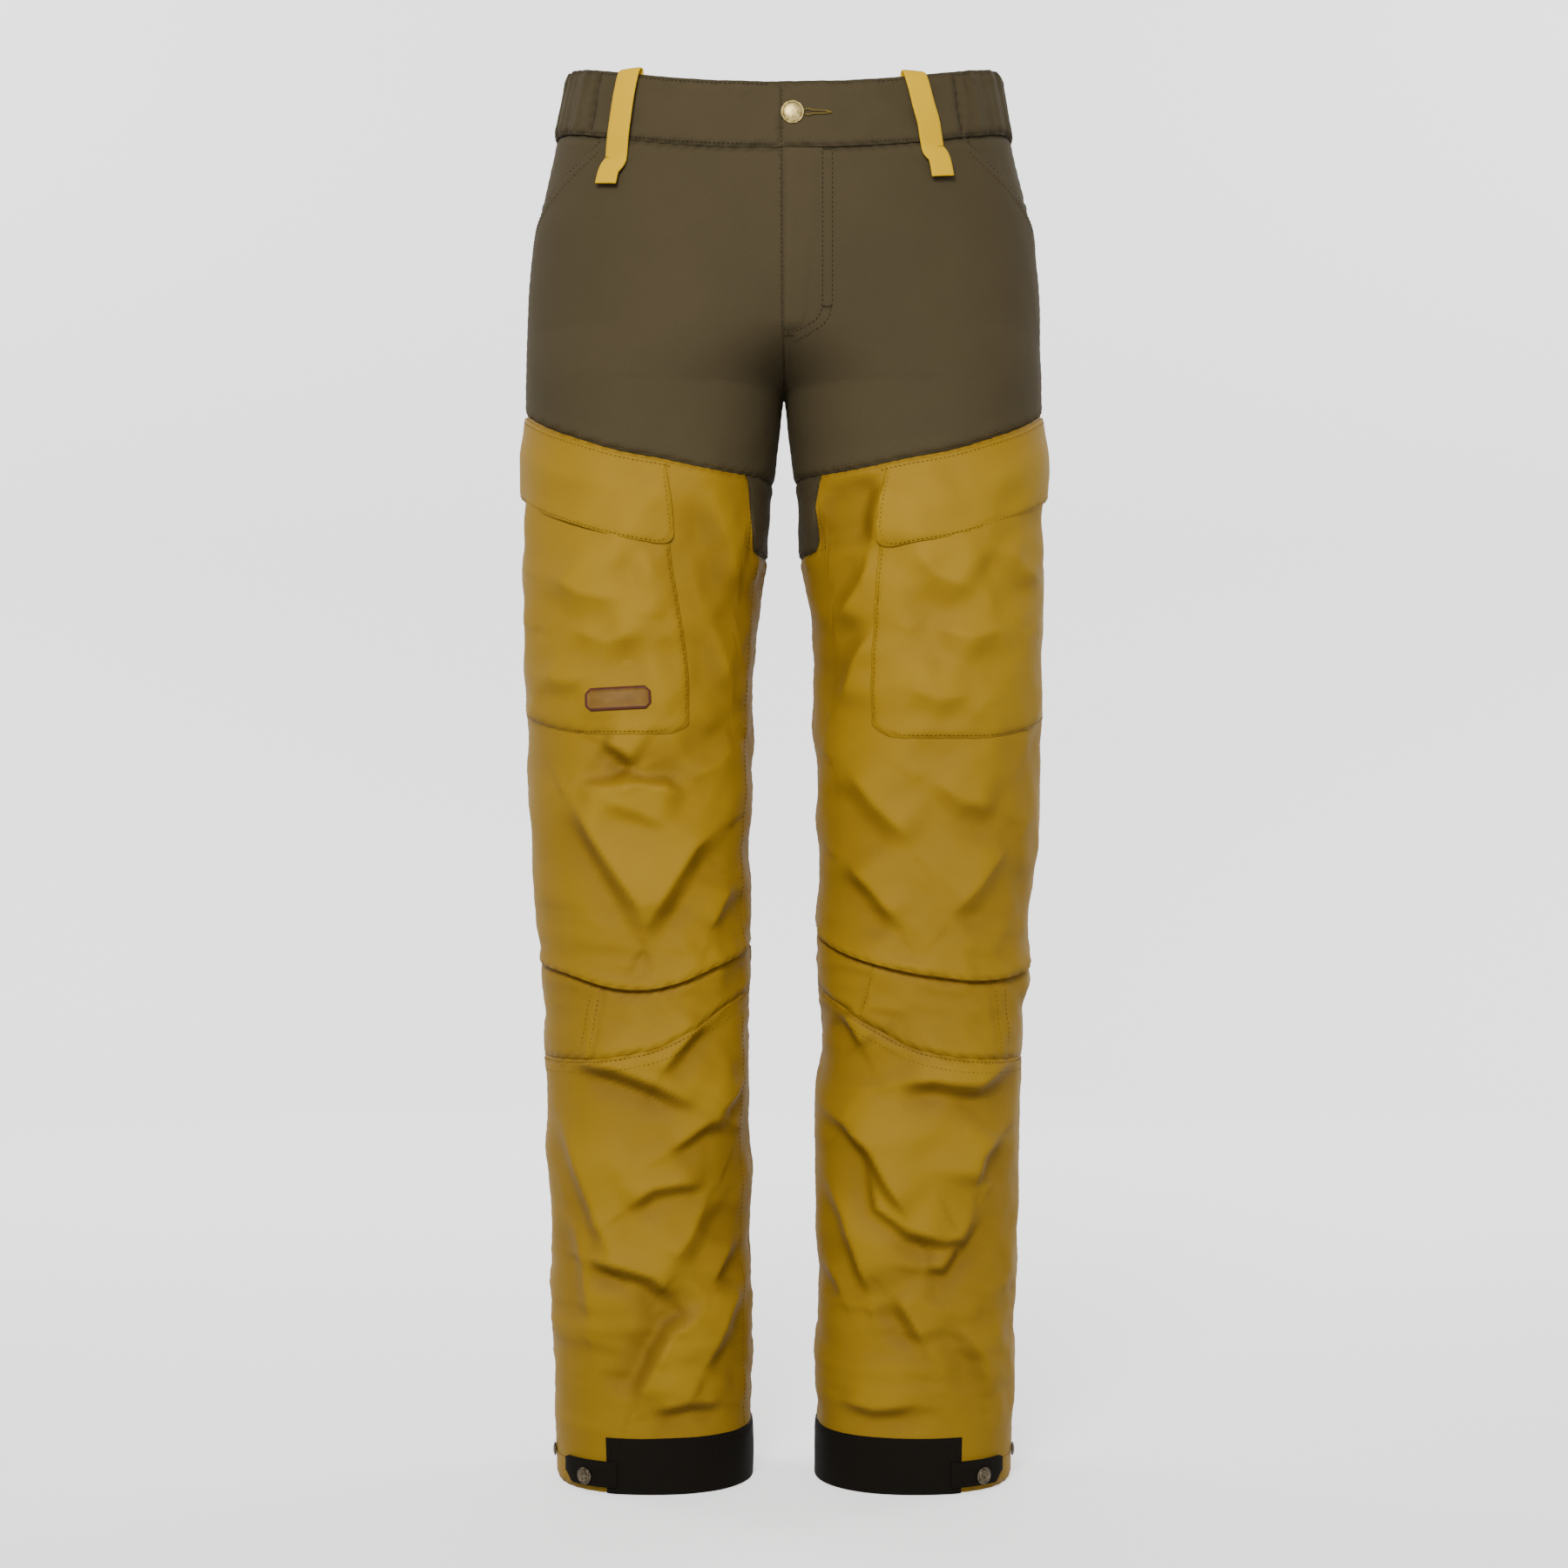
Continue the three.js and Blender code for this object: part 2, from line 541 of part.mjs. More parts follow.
function makeFly() {
  const frame = zipFrame();
  const tapeFrom = TOOTH_SLOT / 2;
  for (const [side, hand] of SIDES) {
    const section = new THREE.Shape([
      [tapeFrom, -TOOTH_DEPTH / 2], [tapeFrom + TOOTH_WIDTH, -TOOTH_DEPTH / 2],
      [tapeFrom + TOOTH_WIDTH, -TAPE_THICKNESS / 2], [ZIP_TAPE_WIDTH, -TAPE_THICKNESS / 2],
      [ZIP_TAPE_WIDTH, TAPE_THICKNESS / 2], [tapeFrom + TOOTH_WIDTH, TAPE_THICKNESS / 2],
      [tapeFrom + TOOTH_WIDTH, TOOTH_DEPTH / 2], [tapeFrom, TOOTH_DEPTH / 2],
    ].map(([x, y]) => new THREE.Vector2(side * x, y)));
    const half = new THREE.ExtrudeGeometry(section, { depth: ZIP_LENGTH, bevelEnabled: false });
    frame.add(place(`zip_half_${hand}`, half, CLOTH_DARK));
  }
  const plateAt = TOOTH_DEPTH / 2 + PLATE_GAP;
  const rest = ZIP_LENGTH - SLIDER_HEIGHT - 2;
  const front = -plateAt - PLATE / 2;
  const slider = [
    boxAt(SLIDER_WIDTH, PLATE, SLIDER_HEIGHT, 0, front, rest),
    boxAt(SLIDER_WIDTH, PLATE, SLIDER_HEIGHT, 0, -front, rest),
    boxAt(NECK_WIDTH, 2 * plateAt + 0.5, 3, 0, 0, rest + SLIDER_HEIGHT - 3),
    boxAt(PLATE, 1.6, 2.5, -PULL_WIDTH / 2 - 0.8, front - 1, rest + SLIDER_HEIGHT - 4),
    boxAt(PLATE, 1.6, 2.5, PULL_WIDTH / 2 + 0.8, front - 1, rest + SLIDER_HEIGHT - 4),
  ].map(toSolid).reduce((whole, piece) => whole.add(piece));
  frame.add(place('zip_slider', toGeometry(slider), BRASS));
  const pull = boxAt(PULL_WIDTH, PLATE, PULL_LENGTH, 0, front - PLATE - 0.3,
    rest + SLIDER_HEIGHT - 2 - PULL_LENGTH);
  frame.add(place('zip_pull', pull, BRASS));
  const stop = boxAt(7, TOOTH_DEPTH, STOP_HEIGHT, 0, 0, -STOP_HEIGHT - 0.4);
  frame.add(place('zip_bottom_stop', stop, BRASS));
  const shieldAt = plateAt + PLATE + LAYER_GAP + LINING / 2;
  // The shield lies behind the zip and turns forward to its seam on the right front
  const seam = -(ZIP_HEAD_BEHIND - CLOTH - LAYER_GAP);
  const shield = new THREE.Shape([
    [SHIELD_FROM, seam], [SHIELD_FROM + LINING, seam], [SHIELD_FROM + LINING, shieldAt - LINING / 2],
    [SHIELD_FROM + SHIELD_WIDTH, shieldAt - LINING / 2],
    [SHIELD_FROM + SHIELD_WIDTH, shieldAt + LINING / 2], [SHIELD_FROM, shieldAt + LINING / 2],
  ].map(([x, y]) => new THREE.Vector2(x, y)));
  const cloth = new THREE.ExtrudeGeometry(shield, { depth: ZIP_LENGTH + 4, bevelEnabled: false });
  frame.add(place('fly_shield', cloth.translate(0, 0, -4), CLOTH_DARK));
  const facingEnd = roundAtX(FLY_WIDTH, ZIP_FOOT + ZIP_LENGTH / 2);
  place('fly_facing', panelGeometry({
    columns: columnsBetween(1, 0, facingEnd),
    bottom: () => ZIP_FOOT - 11, top: () => ZIP_FOOT + ZIP_LENGTH + 6,
    levels: RISE_LEVELS.filter((level) => level > ZIP_FOOT), out: UNDER, thick: LINING,
  }), CLOTH_DARK);
}

// The waist button's tack passes through a hole in the band's overlap and the cap sits on it
const BUTTON_HEIGHT = WAIST_HEIGHT - BAND_DEPTH;
const SHANK_RADIUS = 1.8;
const SHANK_HOLE_RADIUS = 2.3;
const TACK_RADIUS = 5;
function makeButton() {
  const round = roundAtX(BUTTON_X, BUTTON_HEIGHT);
  const radius = BUTTON_DIAMETER / 2;
  placeRound('waist_button', [
    [0, 0], [radius - 1, 0], [radius, 0.8], [radius - 0.4, 2], [radius - 2, 2.6], [radius - 3, 2.1], [0, 2.1],
  ], 1, round, BUTTON_HEIGHT, LAYER_GAP + 0.3, BRASS);
  placeRound('waist_button_tack', [
    [0, -1.2], [TACK_RADIUS, -1.2], [TACK_RADIUS, 0], [SHANK_RADIUS, 0], [SHANK_RADIUS, CLOTH + 0.6],
    [0, CLOTH + 0.6],
  ], 1, round, BUTTON_HEIGHT, UNDER, BRASS);
  const hole = new THREE.CylinderGeometry(SHANK_HOLE_RADIUS, SHANK_HOLE_RADIUS, 8, 24);
  const at = onSurface(1, round, BUTTON_HEIGHT, -CLOTH / 2);
  const outward = onSurface(1, round, BUTTON_HEIGHT, 1).sub(onSurface(1, round, BUTTON_HEIGHT, 0));
  hole.applyQuaternion(new THREE.Quaternion().setFromUnitVectors(new THREE.Vector3(0, 1, 0), outward));
  hole.translate(at.x, at.y, at.z);
  const band = garment.children.find((mesh) => mesh.name === 'waistband_front_left');
  band.geometry = toGeometry(toSolid(band.geometry).subtract(toSolid(hole)));
}

// A strip's outline around a line of points, from its middle line out to both faces
function ribbonShape(points, thickness) {
  const line = points.map(([along, out]) => new THREE.Vector2(along, out));
  const normals = line.map((point, i) => {
    const before = line[Math.max(i - 1, 0)];
    const after = line[Math.min(i + 1, line.length - 1)];
    const along = after.clone().sub(before).normalize();
    return new THREE.Vector2(-along.y, along.x);
  });
  const face = (share) => line.map((p, i) => p.clone().addScaledVector(normals[i], share * thickness));
  return new THREE.Shape([...face(0.5), ...face(-0.5).reverse()]);
}

// Belt loops: sewn at the band's top, standing off it, bar-tacked below and ending in a free tail
const LOOP_TACK_BELOW = 71;
const LOOP_HEAD_BELOW = 13;
function makeLoop(name, side, headRound, footRound) {
  const headAt = waistTop(headRound) - LOOP_HEAD_BELOW;
  const footAt = waistTop(footRound) - LOOP_TACK_BELOW;
  const head = onSurface(side, headRound, headAt, 0);
  const foot = onSurface(side, footRound, footAt, 0);
  const outward = onSurface(side, footRound, footAt, 1).sub(foot);
  const up = head.clone().sub(foot);
  const length = up.length();
  up.normalize();
  outward.addScaledVector(up, -outward.dot(up)).normalize();
  const across = new THREE.Vector3().crossVectors(outward, up);
  const sewn = LAYER_GAP + LOOP_THICKNESS / 2 + 0.3;
  const shape = ribbonShape([
    [length + 9, sewn], [length + 2, sewn], [length - 5, LOOP_STANDOFF], [length - 14, LOOP_STANDOFF + 1],
    [13, LOOP_STANDOFF + 1], [5, sewn + 0.3], [-2, sewn], [-9, 3], [-LOOP_TAIL, 4.6],
  ], LOOP_THICKNESS);
  const strip = new THREE.ExtrudeGeometry(shape, { depth: LOOP_WIDTH, bevelEnabled: false });
  strip.translate(0, 0, -LOOP_WIDTH / 2);
  const mesh = place(name, strip, CLOTH_YELLOW);
  mesh.quaternion.setFromRotationMatrix(new THREE.Matrix4().makeBasis(up, outward, across.negate()));
  mesh.position.copy(foot);
}
function makeLoops() {
  const waistRound = (x) => roundAtX(x, WAIST_HEIGHT - 10);
  makeLoop('belt_loop_front_right', -1, waistRound(112), waistRound(118));
  makeLoop('belt_loop_front_left', 1, waistRound(94), waistRound(104));
  makeLoop('belt_loop_back_right', -1, 1.45, 1.45);
  makeLoop('belt_loop_back_left', 1, 1.45, 1.45);
  makeLoop('belt_loop_back_centre', 1, 2, 2);
}

for (const [side, hand] of SIDES) {
  makeLegs(side, hand);
  makeHandPocket(side, hand);
  makeCargoPocket(side, hand);
  makeHemTab(side, hand);
}
makeWaistband();
makePatch();
makeFly();
makeButton();
makeLoops();

export default trousers;
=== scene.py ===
"""Work trousers: dark stretch seat, mustard legs with shaped knees, cargo pockets and snap-tab hems.

The garment's surface is the CAD model's, rebuilt finely with folds, seams and stitches. Lengths are
in millimetres above the hem until place() turns them into the row frame's metres.
"""
import json
import math

import bmesh
import bpy
import numpy as np
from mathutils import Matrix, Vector


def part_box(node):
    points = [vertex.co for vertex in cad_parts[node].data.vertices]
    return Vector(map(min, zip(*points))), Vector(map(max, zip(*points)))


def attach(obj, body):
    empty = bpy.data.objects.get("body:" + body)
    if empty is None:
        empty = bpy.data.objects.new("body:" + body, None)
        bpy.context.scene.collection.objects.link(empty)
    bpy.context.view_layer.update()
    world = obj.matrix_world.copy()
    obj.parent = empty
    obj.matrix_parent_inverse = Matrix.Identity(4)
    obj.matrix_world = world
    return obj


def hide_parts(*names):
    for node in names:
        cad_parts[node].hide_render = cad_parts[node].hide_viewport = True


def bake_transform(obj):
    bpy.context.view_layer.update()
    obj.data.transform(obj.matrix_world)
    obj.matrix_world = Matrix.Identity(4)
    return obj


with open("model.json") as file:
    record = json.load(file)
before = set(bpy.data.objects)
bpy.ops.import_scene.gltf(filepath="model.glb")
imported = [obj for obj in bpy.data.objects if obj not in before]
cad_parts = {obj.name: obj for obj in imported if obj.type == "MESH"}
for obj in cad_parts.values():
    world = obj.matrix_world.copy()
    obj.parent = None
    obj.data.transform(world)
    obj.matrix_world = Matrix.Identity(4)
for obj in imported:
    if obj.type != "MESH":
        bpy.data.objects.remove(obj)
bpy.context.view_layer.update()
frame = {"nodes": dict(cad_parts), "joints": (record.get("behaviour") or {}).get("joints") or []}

# ---------------------------------------------------------------- sizes, from the frame
MM = 0.001
SIDES = ((-1, "right"), (1, "left"))
HEM_GAP = 0.2
WAIST_HEIGHT = -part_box("kick_panel_left")[0][2] / MM + HEM_GAP
INSEAM = WAIST_HEIGHT - 239
JOINTS = {joint["name"]: joint for joint in frame["joints"]}
KNEE = WAIST_HEIGHT + JOINTS["knee_left"]["pos_m"][2] / MM
WAIST_HALF = 160
BAND_HALF = 172
HIP_HALF = 192
THIGH_HALF = 194
KNEE_HALF = 180
HEM_HALF = 171
ROUNDNESS = 2.3
BAND_DEPTH = 48
CLOTH = 1.3
STEP = 2.9


def profile(points):
    """A smooth curve through (position, value) pairs, flat beyond its ends."""
    at = np.array([p[0] for p in points], float)
    value = np.array([p[1] for p in points], float)
    before = np.maximum(np.arange(len(at)) - 1, 0)
    after = np.minimum(np.arange(len(at)) + 1, len(at) - 1)
    slope = (value[after] - value[before]) / (at[after] - at[before])

    def curve(x):
        x = np.clip(np.asarray(x, float), at[0], at[-1])
        i = np.clip(np.searchsorted(at, x) - 1, 0, len(at) - 2)
        span = at[i + 1] - at[i]
        t = (x - at[i]) / span
        a = (2 * t**3 - 3 * t**2 + 1) * value[i] + (t**3 - 2 * t**2 + t) * span * slope[i]
        return a + (3 * t**2 - 2 * t**3) * value[i + 1] + (t**3 - t**2) * span * slope[i + 1]

    return curve


BAND_FOOT = WAIST_HEIGHT - BAND_DEPTH + 3
half_width = profile([
    (0, HEM_HALF), (KNEE - 65, KNEE_HALF), (KNEE, KNEE_HALF + 4), (INSEAM * 0.66, THIGH_HALF - 1),
    (INSEAM, THIGH_HALF), (INSEAM + 110, HIP_HALF - 2), (BAND_FOOT, BAND_HALF),
    (WAIST_HEIGHT + 16, WAIST_HALF),
])
leg_inner = profile([
    (0, 24.5), (KNEE, 26), (INSEAM - 215, 23), (INSEAM - 100, 12), (INSEAM, 1),
])
front_depth = profile([
    (0, 70), (KNEE, 78), (INSEAM - 60, 98), (INSEAM + 80, 107), (BAND_FOOT, 107),
    (WAIST_HEIGHT + 16, 104),
])
back_depth = profile([
    (0, 72), (KNEE, 79), (INSEAM - 60, 106), (INSEAM + 70, 130), (BAND_FOOT, 117),
    (WAIST_HEIGHT + 16, 112),
])


CROTCH_EASE = 0.15


def inner_side(h):
    up = np.clip((h - INSEAM) / (BAND_FOOT - INSEAM), 0, 1)
    opened = np.sin(up * math.pi / 2) ** 0.8 * (CROTCH_EASE + (1 - CROTCH_EASE) * np.minimum(up / 0.22, 1))
    hip = 1 - (1 + half_width(h)) * opened
    return np.where(h <= INSEAM, leg_inner(h), hip)


def on_surface(side, round_, h, out=0.0):
    """Points and outward directions. round_ is 0 at the inseam or centre front, 1 at the outer side
    and 2 at the inseam or centre back; it may run on past 0 and 2 below the crotch."""
    round_, h = np.broadcast_arrays(np.asarray(round_, float), np.asarray(h, float))
    outer, inner = half_width(h), inner_side(h)
    middle, half = (outer + inner) / 2, (outer - inner) / 2
    ratio = np.clip(middle / half, 0, 1) ** (ROUNDNESS / 2)
    start = np.where(inner < 0, np.arccos(ratio), 0)
    angle = math.pi + (round_ - 1) * (math.pi - start)
    c, s = np.cos(angle), np.sin(angle)
    power = 2 / ROUNDNESS
    depth = np.where(s > 0, front_depth(h), back_depth(h))
    x = middle - half * np.sign(c) * np.abs(c) ** power
    y = -depth * np.sign(s) * np.abs(s) ** power
    nx = np.sign(x - middle) * np.abs((x - middle) / half) ** (ROUNDNESS - 1) / half
    ny = np.sign(y) * np.abs(y / depth) ** (ROUNDNESS - 1) / depth
    length = np.maximum(np.hypot(nx, ny), 1e-9)
    nx, ny = side * nx / length, ny / length
    normal = np.stack([nx, ny, np.zeros_like(nx)], -1)
    point = np.stack([side * x, y, h], -1) + normal * np.asarray(out)[..., None]
    return point, normal


def round_at(x, h):
    """How far round the front half the distance x from the middle lies, at height h."""
    x, h = np.broadcast_arrays(np.abs(np.asarray(x, float)), np.asarray(h, float))
    low, high = np.zeros(x.shape), np.ones(x.shape)
    for _ in range(26):
        middle = (low + high) / 2
        short = np.abs(on_surface(1, middle, h)[0][..., 0]) < x
        low, high = np.where(short, middle, low), np.where(short, high, middle)
    return (low + high) / 2


def place(points):
    """Millimetres above the hem to the row frame's metres."""
    return (np.asarray(points, float) - (0, 0, WAIST_HEIGHT)) * MM


# ---------------------------------------------------------------- edges of the pieces
def waist_top(r):
    r = np.asarray(r, float)
    centre = np.where(r < 1, -25.0, 16.0)
    return WAIST_HEIGHT + 3 + (centre - 3) * np.cos(r * math.pi / 2) ** 2


def band_foot(r):
    return waist_top(r) - BAND_DEPTH


yoke = profile([
    (0, INSEAM - 65), (0.33, INSEAM - 63), (0.54, INSEAM - 51), (0.7, INSEAM - 37),
    (1, INSEAM - 13), (1.4, INSEAM - 16), (1.8, INSEAM - 55), (2, INSEAM - 65),
])
KNEE_TOPS = {
    -1: profile([(0, KNEE + 15), (0.25, KNEE + 3), (0.5, KNEE - 15), (0.75, KNEE - 3),
                 (1, KNEE + 3), (1.5, KNEE), (2, KNEE + 15)]),
    1: profile([(0, KNEE + 27), (0.3, KNEE + 7), (0.6, KNEE - 8), (0.8, KNEE - 6),
                (1, KNEE + 3), (1.5, KNEE), (2, KNEE + 27)]),
}
knee_foot = profile([
    (0, KNEE - 16), (0.2, KNEE - 27), (0.35, KNEE - 43), (0.5, KNEE - 60), (0.65, KNEE - 66),
    (1, KNEE - 69),
])
GUSSET_REACH = 0.21
MOUTH_START = 0.52
KICK_FRONT = 0.625
KICK_BACK = 1.375
KICK_DEPTH = 41


def gusset_foot(r):
    away = np.minimum(np.minimum(np.abs(r), np.abs(2 - r)) / GUSSET_REACH, 1)
    foot = INSEAM - 121
    return foot + (yoke(r) - 2 - foot) * away**9


def thigh_top(r):
    away = np.minimum(r, 2 - r)
    return np.where(away < GUSSET_REACH, gusset_foot(r), yoke(r))


def mouth_edge(r):
    along = np.maximum(np.asarray(r, float) - MOUTH_START, 0) / (1 - MOUTH_START)
    return band_foot(r) - 78 * along**0.9


# ---------------------------------------------------------------- folds
# Each fold is a valley line seen from the front, (x, height) points, with the raised cloth on the
# left of its direction of travel; then its width and its depth.
FOLDS = {
    -1: [
        ([(-135, 550), (-120, 541), (-107, 532)], 6, 4.5),
        ([(-107, 532), (-125, 523), (-152, 521)], 7, 3.5),
        ([(-68, 514), (-88, 522), (-108, 524), (-128, 518)], 7, 4.5),
        ([(-160, 508), (-141, 474), (-125, 450), (-112, 430), (-106, 412)], 9, 5.5),
        ([(-100, 405), (-88, 425), (-76, 446), (-62, 470), (-44, 486)], 10, 6),
        ([(-54, 408), (-44, 425), (-34, 446)], 8, 4),
        ([(-135, 505), (-112, 497), (-86, 486)], 7, 1.8),
        ([(-40, 560), (-52, 540), (-72, 530)], 10, 3),
        ([(-60, 640), (-50, 600), (-36, 570)], 11, 3),
        ([(-62, 735), (-48, 690), (-40, 650)], 12, 3.5),
        ([(-160, 313), (-125, 308), (-92, 295), (-62, 279)], 7, 6),
        ([(-92, 302), (-81, 316), (-66, 334), (-50, 346)], 7, 4.5),
        ([(-48, 276), (-36, 288), (-25, 302)], 6, 3.5),
        ([(-86, 248), (-72, 256), (-56, 268), (-40, 264)], 7, 4.5),
        ([(-116, 206), (-94, 221), (-76, 224), (-56, 222)], 7, 5),
        ([(-170, 275), (-156, 238), (-141, 196), (-126, 170)], 9, 5),
        ([(-148, 169), (-120, 163), (-98, 156), (-80, 139)], 8, 7),
        ([(-164, 205), (-152, 165), (-145, 118)], 9, 3.5),
        ([(-80, 163), (-64, 186), (-48, 222)], 11, 4.5),
        ([(-52, 148), (-40, 168), (-32, 184)], 7, 3.5),
        ([(-56, 142), (-86, 122), (-106, 82), (-112, 62)], 9, 6),
        ([(-60, 84), (-46, 108), (-28, 150)], 8, 4.5),
        ([(-98, 58), (-70, 64), (-42, 60)], 6, 3.5),
    ],
    1: [
        ([(22, 690), (30, 715), (34, 740)], 8, 3.5),
        ([(70, 745), (62, 715), (60, 690)], 9, 5),
        ([(62, 640), (46, 610), (36, 575)], 11, 4),
        ([(60, 690), (50, 665), (34, 640)], 10, 3.5),
        ([(40, 530), (62, 500), (92, 470)], 12, 4),
        ([(40, 462), (60, 440), (84, 411)], 9, 4.5),
        ([(100, 520), (128, 500), (160, 494)], 12, 3),
        ([(120, 415), (146, 440), (172, 476)], 11, 4),
        ([(40, 352), (48, 338), (57, 324)], 6, 4),
        ([(80, 297), (110, 299), (142, 294), (170, 312)], 8, 6.5),
        ([(26, 276), (44, 267), (60, 251), (73, 225), (95, 193)], 8, 6.5),
        ([(54, 250), (66, 208), (90, 190), (118, 183), (132, 184), (148, 214)], 7, 5),
        ([(100, 165), (117, 163), (132, 182)], 6, 4),
        ([(142, 222), (148, 246), (162, 260)], 7, 5),
        ([(27, 228), (42, 200), (51, 171), (61, 138)], 8, 5),
        ([(26, 164), (34, 152), (42, 138)], 6, 3),
        ([(76, 146), (90, 125), (102, 104)], 8, 3.5),
        ([(128, 120), (140, 96), (146, 66)], 10, 3.5),
        ([(38, 64), (66, 58), (100, 62)], 7, 3),
    ],
}
POCKET_FOLDS = {
    -1: [
        ([(-175, 668), (-150, 650), (-112, 644)], 14, 3.5), ([(-165, 628), (-130, 615), (-96, 622)], 14, 3),
        ([(-108, 690), (-100, 668), (-84, 650)], 12, 3), ([(-180, 596), (-160, 588), (-142, 590)], 10, 2),
    ],
    1: [
        ([(86, 688), (104, 664), (140, 650)], 14, 3.5), ([(100, 628), (132, 618), (168, 626)], 14, 3),
        ([(150, 694), (168, 670), (186, 660)], 12, 3), ([(84, 584), (112, 574), (140, 578)], 12, 2.5),
    ],
}


CREST = 0.6
# Just over 2, so that a column that ends at 2 isn't wrapped back to 0
FULL_ROUND = 2.0000001


def fold_height(x, h, folds):
    """How far the cloth stands off at front-view places (x, h), summed over the folds. Each has a
    crisp crest, drops steeply to a soft valley beside it and comes back slowly."""
    total = np.zeros(np.shape(x))
    for points, width, depth in folds:
        line = np.array(points, float)
        lengths = np.hypot(*np.diff(line, axis=0).T)
        whole = lengths.sum()
        best = np.full(np.shape(x), 1e9)
        offset = np.zeros(np.shape(x))
        along = np.zeros(np.shape(x))
        run = 0.0
        for (x0, h0), (x1, h1), length in zip(line[:-1], line[1:], lengths):
            ux, uh = (x1 - x0) / length, (h1 - h0) / length
            t = np.clip((x - x0) * ux + (h - h0) * uh, 0, length)
            dx, dh = x - x0 - t * ux, h - h0 - t * uh
            away = np.hypot(dx, dh)
            nearer = away < best
            best = np.where(nearer, away, best)
            left = -uh * dx + ux * dh
            offset = np.where(nearer, np.sign(left) * away, offset)
            along = np.where(nearer, (run + t) / whole, along)
            run += length
        taper = np.clip(np.minimum(along, 1 - along) / 0.3, 0, 1)
        taper = taper * taper * (3 - 2 * taper) * 0.85 + 0.15
        across = offset / width
        plateau = np.exp(-(across - CREST) / 3.2)
        drop = 1 - 1.65 * np.sin(np.clip((CREST - across) / 1.5, 0, 1) * math.pi / 2)
        rise = -0.65 * np.exp(-(np.clip(CREST - 1.5 - across, 0, None) / 1.7) ** 1.5)
        shape = np.where(across > CREST, plateau, np.where(across > CREST - 1.5, drop, rise))
        reach = np.exp(-(np.clip(np.abs(across) - 3.5, 0, None) / 2) ** 2)
        total += depth * taper * shape * reach
    return total


def ripple(x, h, seed, size, count=14):
    """Soft uneven swell, the same each run: waves of about the given length in many directions."""
    random = np.random.default_rng(seed)
    total = np.zeros(np.shape(x))
    for _ in range(count):
        angle = random.uniform(0, math.pi)
        length = size * random.uniform(0.7, 1.6)
        wave = (x * math.cos(angle) + h * math.sin(angle)) * 2 * math.pi / length
        total += np.sin(wave + random.uniform(0, 6.28) + 0.8 * np.sin(wave * 0.37 + 1))
    return total / math.sqrt(count)


def smooth(low, high, x):
    t = np.clip((x - low) / (high - low), 0, 1)
    return t * t * (3 - 2 * t)


def knee_top(side, r):
    r = np.mod(r, FULL_ROUND)
    side = np.broadcast_to(side, np.shape(r))
    return np.where(side < 0, KNEE_TOPS[-1](r), KNEE_TOPS[1](r))


HEM_FLATNESS = 0.25
FOLD_STRENGTH = 1.15


def body_shape(side, r, h):
    """How far the worn cloth stands off the plain surface."""
    point, normal = on_surface(side, r, h)
    x = point[..., 0]
    front = smooth(0.05, 0.5, -normal[..., 1])
    back = smooth(0.05, 0.5, normal[..., 1])
    legs = 1 - smooth(INSEAM - 80, INSEAM - 40, h)
    total = np.zeros(np.shape(h))
    for which in (-1, 1):
        here = np.broadcast_to(side, np.shape(h)) == which
        if not here.any():
            continue
        lines = fold_height(x, h, FOLDS[which])
        behind = fold_height(-x, h + 18, FOLDS[-which])
        total += np.where(here, lines * front + behind * back, 0)
    total *= legs * FOLD_STRENGTH
    arc = x + 0.8 * point[..., 1]
    total += (1.1 * ripple(arc, h, 5, 110) + 0.5 * ripple(arc, h * 1.3, 6, 42)) * (0.3 + 0.7 * legs)
    crumple = np.exp(-(((h - 110) / 75) ** 2)) + np.exp(-(((h - KNEE + 10) / 60) ** 2))
    total += 0.45 * crumple * ripple(arc, h * 1.5, 7, 24)
    # The thigh sags over the knee's tuck, and the side of the knee bunches
    top = knee_top(side, r)
    in_front = np.clip(1.15 - np.abs(np.mod(r, 2) - 0.5) * 1.3, 0.3, 1) * smooth(-0.2, 0.3, -normal[..., 1])
    over = np.exp(-np.clip(h - top, 0, None) / 16) * (h >= top)
    total += 4.5 * over * in_front
    tucked = np.exp(-np.clip(top - h, 0, None) / 12) * (h < top)
    total -= 2.0 * tucked * in_front
    gather = np.sin(h / 5.3 + 2 * np.sin(h / 17)) * np.exp(-(((h - KNEE + 12) / 34) ** 2))
    total += 1.5 * gather * np.exp(-(((np.mod(r, 2) - 1.0) / 0.22) ** 2))
    # The cloth lies folded over at the groin and ripples along the inseam
    inseam = np.exp(-((np.minimum(np.abs(np.mod(r, 2)), 2 - np.mod(r, 2)) / 0.12) ** 2))
    total += 0.9 * inseam * legs * np.sin(h / 15 + 1.6 * np.sin(h / 41))
    return total * (HEM_FLATNESS + (1 - HEM_FLATNESS) * smooth(18, 62, h))


def skin(side, r, h, out=0.0, folded=True):
    """A point on the worn garment and the way out of it there."""
    rise = body_shape(side, r, h) if folded else 0.0
    return on_surface(side, r, h, np.asarray(out) + rise)


# ---------------------------------------------------------------- mesh building
def stations(length, step):
    """Distances along an edge, closer together near both ends where the seam turns under."""
    near = [0, 0.8, 1.9, 3.4, 5.4] if length > 16 else [0]
    inside = length - 2 * near[-1]
    count = max(int(round(inside / step)), 1)
    middle = [near[-1] + inside * i / count for i in range(count + 1)]
    return np.array(near[:-1] + middle + [length - d for d in near[:-1]][::-1])


